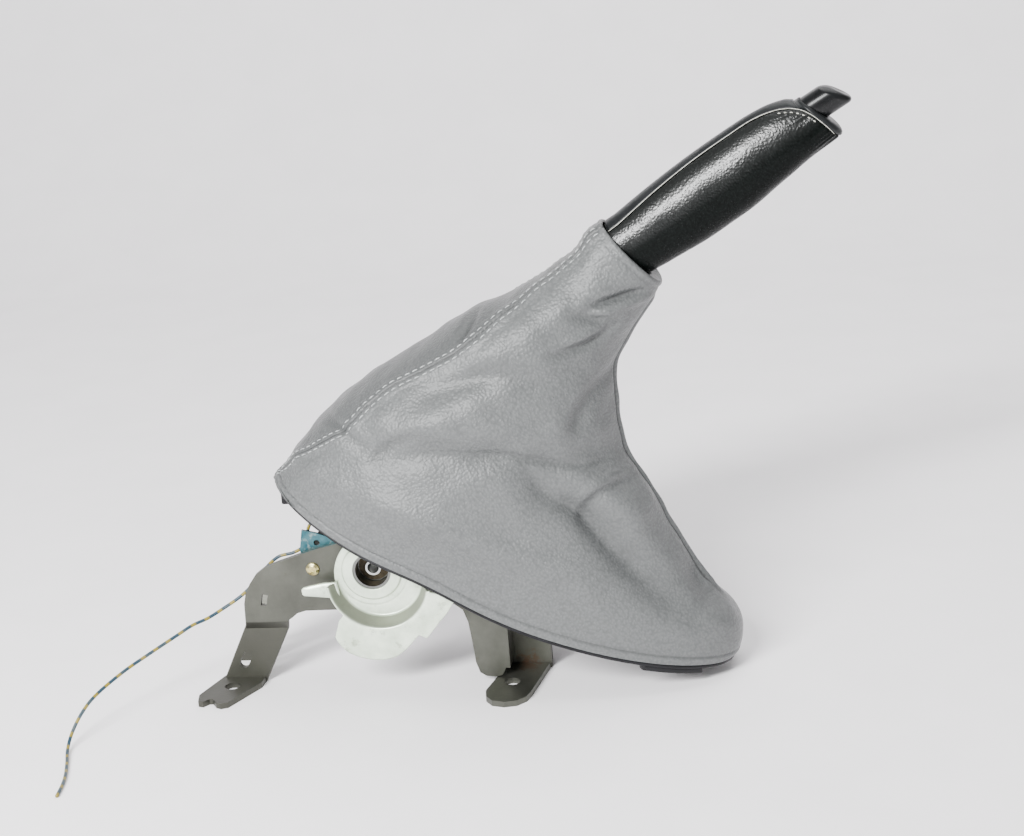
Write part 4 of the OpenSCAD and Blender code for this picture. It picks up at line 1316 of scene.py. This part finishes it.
    def end(self) -> None:
        """Collar with a rolled lip, and the release button with a rounded, slightly dished end."""
        e, tilt, cut, rise = self.length, self.end_lean, self.button_lean, self.button_rise
        high, wide = self.button_high, self.button_wide
        tall, broad = high + 0.7, wide + 0.8
        brow = [(e - 0.4 + 3.2 * np.sin(q), tall + 5.6 * np.cos(q), broad + 2.2 * np.cos(q), rise - 5.5 * np.cos(q),
                 tilt + 0.14 * np.sin(q)) for q in np.linspace(0, np.pi / 2, 8)]
        rings = self.ovals([(e - 7, tall, broad, rise, tilt), (e - 0.9, tall, broad, rise, tilt),
                            (e - 0.8, 13.6, 11.2, 1.9, tilt), *brow,
                            (e + 2.5, high + 0.3, wide + 0.3, rise, tilt + 0.14),
                            (e - 7, high + 0.3, wide + 0.3, rise, tilt)], 96)
        collar = make_piece("grip_collar", rings, grid_faces(*rings.shape[:2], True, True))
        settle(collar, STRIP_PLASTIC, Body.LEVER, "end_bezel")
        top = e + cut * rise
        crown = [(top + 10.8 + 4.2 * np.sin(q), high - 3.8 * (1 - np.cos(q)), wide - 3.8 * (1 - np.cos(q)), rise, cut)
                 for q in np.linspace(0, np.pi / 2, 12)]
        dish = [(top + 14.9, high - 4.6, wide - 4.6, rise, cut), (top + 14.7, 1.8, 2.0, rise, cut),
                (top + 14.6, 0.5, 0.6, rise, cut)]
        stem = [(e - 4.5, high - 0.3, wide - 0.3, rise, 0), (e - 4.2, high, wide, rise, 0),
                (e + 3.4, high, wide, rise, 0.2)]
        button = make_piece("release_button", *closed_skin(self.ovals(stem + crown + dish, 96)))
        settle(button, BUTTON_PLASTIC, Body.BUTTON, "push_button")

    def build(self) -> None:
        """Hide, strip, piping, then the end pieces."""
        self.hide()
        self.strip()
        self.piping()
        self.end()


@dataclass
class Quadrant:
    """Pressed cable quadrant: disc with a raised ring, dished rim, lobed lip and the tongue beside it."""

    pivot: tuple[float, float] = (7.0, 73.0)
    centre: tuple[float, float] = (11.5, 70.3)
    hub: float = 10.95
    floor: float = 23.4
    disc: float = 26.0
    lip_root: float = 28.7
    face: float = -28.0
    lip_face: float = -38.0
    sheet: float = 2.0
    dish: tuple[float, float] = (186.0, 347.0)
    wall: tuple[tuple[float, float], ...] = ((23.9, -28.15), (24.3, -28.7), (24.7, -29.6), (26.0, -32.8),
                                             (27.3, -36.2), (27.7, -37.2), (28.1, -37.8), (28.7, -38.0))
    lip_angle: tuple[float, ...] = (233, 235.5, 238, 243.5, 250, 258, 267, 275, 283, 290.5, 299, 306, 309, 316, 324,
                                    338, 345)
    lip_reach: tuple[float, ...] = (32, 36, 42.5, 45.6, 48.2, 49.6, 50.4, 50.7, 50, 47.6, 44.8, 43.3, 47.6, 46.8, 46.6,
                                    48.7, 50)
    tongue: tuple[tuple[float, float], ...] = ((-20, -5.0), (-28, -5.4), (-36, -7.0), (-39.4, -7.9), (-40.4, -8.9),
                                               (-40.2, -11.8), (-39.2, -12.7), (-27, -13.9), (-18.5, -14.8))

    def lip_edge(self, a: Array) -> Array:
        """Outer edge of the lip, turned from bearings about the pivot to angles about the disc's centre.

        Args:
            a: angles in degrees about the disc's centre.

        Returns:
            Radius about the centre; at the lip's root where there is no lip.
        """
        bearing = np.radians(self.lip_angle)
        shift = np.subtract(self.pivot, self.centre)
        x = shift[0] + np.array(self.lip_reach) * np.cos(bearing)
        z = shift[1] + np.array(self.lip_reach) * np.sin(bearing)
        turn = np.degrees(np.arctan2(z, x)) % 360
        keys = np.r_[turn[0] - 0.6, turn, turn[-1] + 0.6]
        root = self.lip_root
        return np.interp(a, keys, np.r_[root, np.hypot(x, z), root], left=root, right=root)

    def disc_rows(self, a: Array, outer: Sequence[float]) -> Array:
        """Rows from the hub hole, which is round the pivot, to circles round the disc's centre.

        Args:
            a: angles in radians.
            outer: radii of the last rows.

        Returns:
            Points on the disc's face, with the ring round the hub raised by a smooth step.
        """
        t = np.linspace(0, 1, 40)[:, None, None]
        ring = np.stack([np.cos(a), np.sin(a)], -1)[None]
        flat = (np.array(self.pivot) + self.hub * ring) * (1 - t) + (np.array(self.centre) + outer[0] * ring) * t
        more = np.array(outer[1:])[:, None, None]
        flat = np.concatenate([flat, np.array(self.centre) + more * ring])
        away = np.hypot(flat[..., 0] - self.pivot[0], flat[..., 1] - self.pivot[1])
        y = self.face - 0.9 * (1 - ease(16.3, 17.3, away)) + 0.25 * bell(away - 20.5, 0.45)
        return np.stack([flat[..., 0], y, flat[..., 1]], -1)

    def dust_and_painted_shade(self, points: Array) -> Array:
        """Share of the dark mark, a little dust and mostly painted shade and painted reflection: full on the dished
        wall, by radius, and faint in the rings round the hub.

        Args:
            points: points of the pressing.

        Returns:
            A mark from 0 to 1 for each point.
        """
        away = np.hypot(points[:, 0] - self.pivot[0], points[:, 2] - self.pivot[1])
        reach = np.hypot(points[:, 0] - self.centre[0], points[:, 2] - self.centre[1])
        wall = ease(24.0, 24.7, reach) * (1 - ease(27.4, 28.5, reach)) * (points[:, 1] < self.face - 0.1)
        rings = 0.4 * bell(away - 16.9, 0.4) + 0.25 * bell(away - 20.5, 0.4)
        return np.clip(wall + rings * (reach < 23.5), 0, 1)

    def pressing(self) -> bpy.types.Object:
        """Disc sector and dished sector with its lip, merged and thickened as one sheet.

        Returns:
            The piece, not yet dressed.
        """
        low, high = self.dish
        plain = self.disc_rows(np.radians(np.linspace(high - 360, low, 200)), (self.floor, 24.2, 25.1, self.disc))
        b = np.linspace(low, high, 400)
        wall = np.array(self.wall)
        ring = np.stack([np.cos(np.radians(b)), 0 * b, np.sin(np.radians(b))], -1)
        middle = np.array([self.centre[0], 0.0, self.centre[1]])
        down = middle + wall[:, None, :1] * ring + wall[:, None, 1:] * np.array([0.0, 1.0, 0.0])
        t = np.linspace(0.06, 1, 18)[:, None]
        reach = self.lip_root + t * (self.lip_edge(b) - self.lip_root)
        bend = 1.3 * ease(38, 50, reach) * (1 - ease(296, 306, b)) - 0.5 * ease(299, 307, b)
        lip = middle + reach[..., None] * ring
        lip[..., 1] = self.lip_face + bend
        bowl = np.concatenate([self.disc_rows(np.radians(b), (self.floor,)), down, lip])
        points, faces = joined([(rows, grid_faces(*rows.shape[:2], False)) for rows in (plain, bowl)])
        # The mark darkens the dished wall and the rings round the hub: painted shade and painted reflection, with a
        # little dust.
        sheet = make_piece("cable_quadrant_pressing", points, faces, closed=False,
                           marks={"dust_and_painted_shade": self.dust_and_painted_shade(points)})
        work = bmesh.new()
        work.from_mesh(sheet.data)
        bmesh.ops.remove_doubles(work, verts=work.verts, dist=2e-5)
        bmesh.ops.dissolve_degenerate(work, edges=work.edges, dist=1e-6)
        bmesh.ops.recalc_face_normals(work, faces=work.faces)
        work.to_mesh(sheet.data)
        work.free()
        thick = sheet.modifiers.new("sheet_thickness", "SOLIDIFY")
        thick.thickness = self.sheet * MM
        thick.offset = -1.0 if sheet.data.polygons[0].normal[1] < 0 else 1.0
        thick.use_even_offset = True
        return sheet

    def build(self) -> None:
        """The pressing, and the tongue as an eased bar beside it."""
        sheet = self.pressing()
        outline = np.array(self.tongue) + np.array(self.pivot)
        tab = make_piece("cable_quadrant_tongue",
                         *eased_bar(outline, (-32.0, -31.6, -30.4, -30.0), (0.94, 1.0, 1.0, 0.94)))
        for piece in (sheet, tab):
            settle(piece, WHITE_ZINC, Body.LEVER, "cable_quadrant")


@dataclass(frozen=True)
class Plate:
    """A pressed or turned CAD part that keeps its shape and gets eased edges."""

    node: str
    finish: PlatedSteel
    slot: str
    body: Body
    edge: float


PLATES = (
    Plate("near_bracket", BRACKET_STEEL, "bracket_steel", Body.BASE, 0.7),
    Plate("far_bracket", BRACKET_STEEL, "bracket_steel", Body.BASE, 0.7),
    Plate("switch_bracket", BLUE_ZINC, "blue_zinc", Body.BASE, 0.3),
    Plate("near_lever_plate", WHITE_ZINC, "white_zinc", Body.LEVER, 0.4),
    Plate("far_lever_plate", WHITE_ZINC, "white_zinc", Body.LEVER, 0.4),
)


# Finishes of the CAD parts whose shape is kept.
KEPT_PARTS: tuple[tuple[Finish, tuple[str, ...]], ...] = (
    (YELLOW_ZINC, ("bracket_rivets",)),
    (DARK_STEEL, ("ratchet_sector", "pivot_bushes")),
    (PLAIN_STEEL, ("spacers", "pivot_tube", "pivot_sleeve", "tube_rivets", "pawl_pin", "push_rod", "pawl", "lever_tube",
                   "switch_cam")),
    (HUB_STEEL, ("hub_cups",)),
    (WASHER_BRONZE, ("pivot_washer",)),
    (FRAME_PLASTIC, ("switch_body", "grip_core")),
    (SWITCH_PLASTIC, ("switch_plunger",)),
)


@dataclass
class Metalwork:
    """Brackets, pivot and ratchet parts, and the small plastic parts among them."""

    sharp: float = 35.0
    flat: float = 1.0

    def eased(self, plate: Plate) -> None:
        """Copy of a CAD part with its triangles merged to flats and its sharp edges rounded.

        Args:
            plate: the part, its finish and the width of its eased edges.
        """
        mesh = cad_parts[plate.node].data.copy()
        work = bmesh.new()
        work.from_mesh(mesh)
        bmesh.ops.remove_doubles(work, verts=work.verts, dist=1e-6)
        bmesh.ops.dissolve_limit(work, angle_limit=np.radians(self.flat), verts=work.verts, edges=work.edges)
        work.to_mesh(mesh)
        work.free()
        mesh.name = plate.node + "_eased"
        piece = bpy.data.objects.new(mesh.name, mesh)
        bpy.context.scene.collection.objects.link(piece)
        round_over = piece.modifiers.new("eased_edges", "BEVEL")
        round_over.width = plate.edge * MM
        round_over.segments = 3
        round_over.limit_method = "ANGLE"
        round_over.angle_limit = np.radians(self.sharp)
        settle(piece, plate.finish, plate.body, plate.node)

    def build(self) -> None:
        """Eased sheet parts, and better finishes on the CAD parts whose shape is kept."""
        for plate in PLATES:
            self.eased(plate)
        for finish, nodes in KEPT_PARTS:
            for name in nodes:
                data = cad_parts[name].data
                data.materials.clear()
                data.materials.append(material_of(finish))
                LOG.info("%s: %s", name, finish.name)


def main() -> None:
    """Builds the studio, then each sub-assembly in order."""
    logging.basicConfig(level=logging.INFO, format="%(name)s %(message)s")
    for part in (Studio(), SignalWire(), Boot(), Grip(), Quadrant(), Metalwork()):
        LOG.info("building %s", type(part).__name__)
        part.build()
    bpy.context.view_layer.update()


if __name__ == "__main__":
    main()
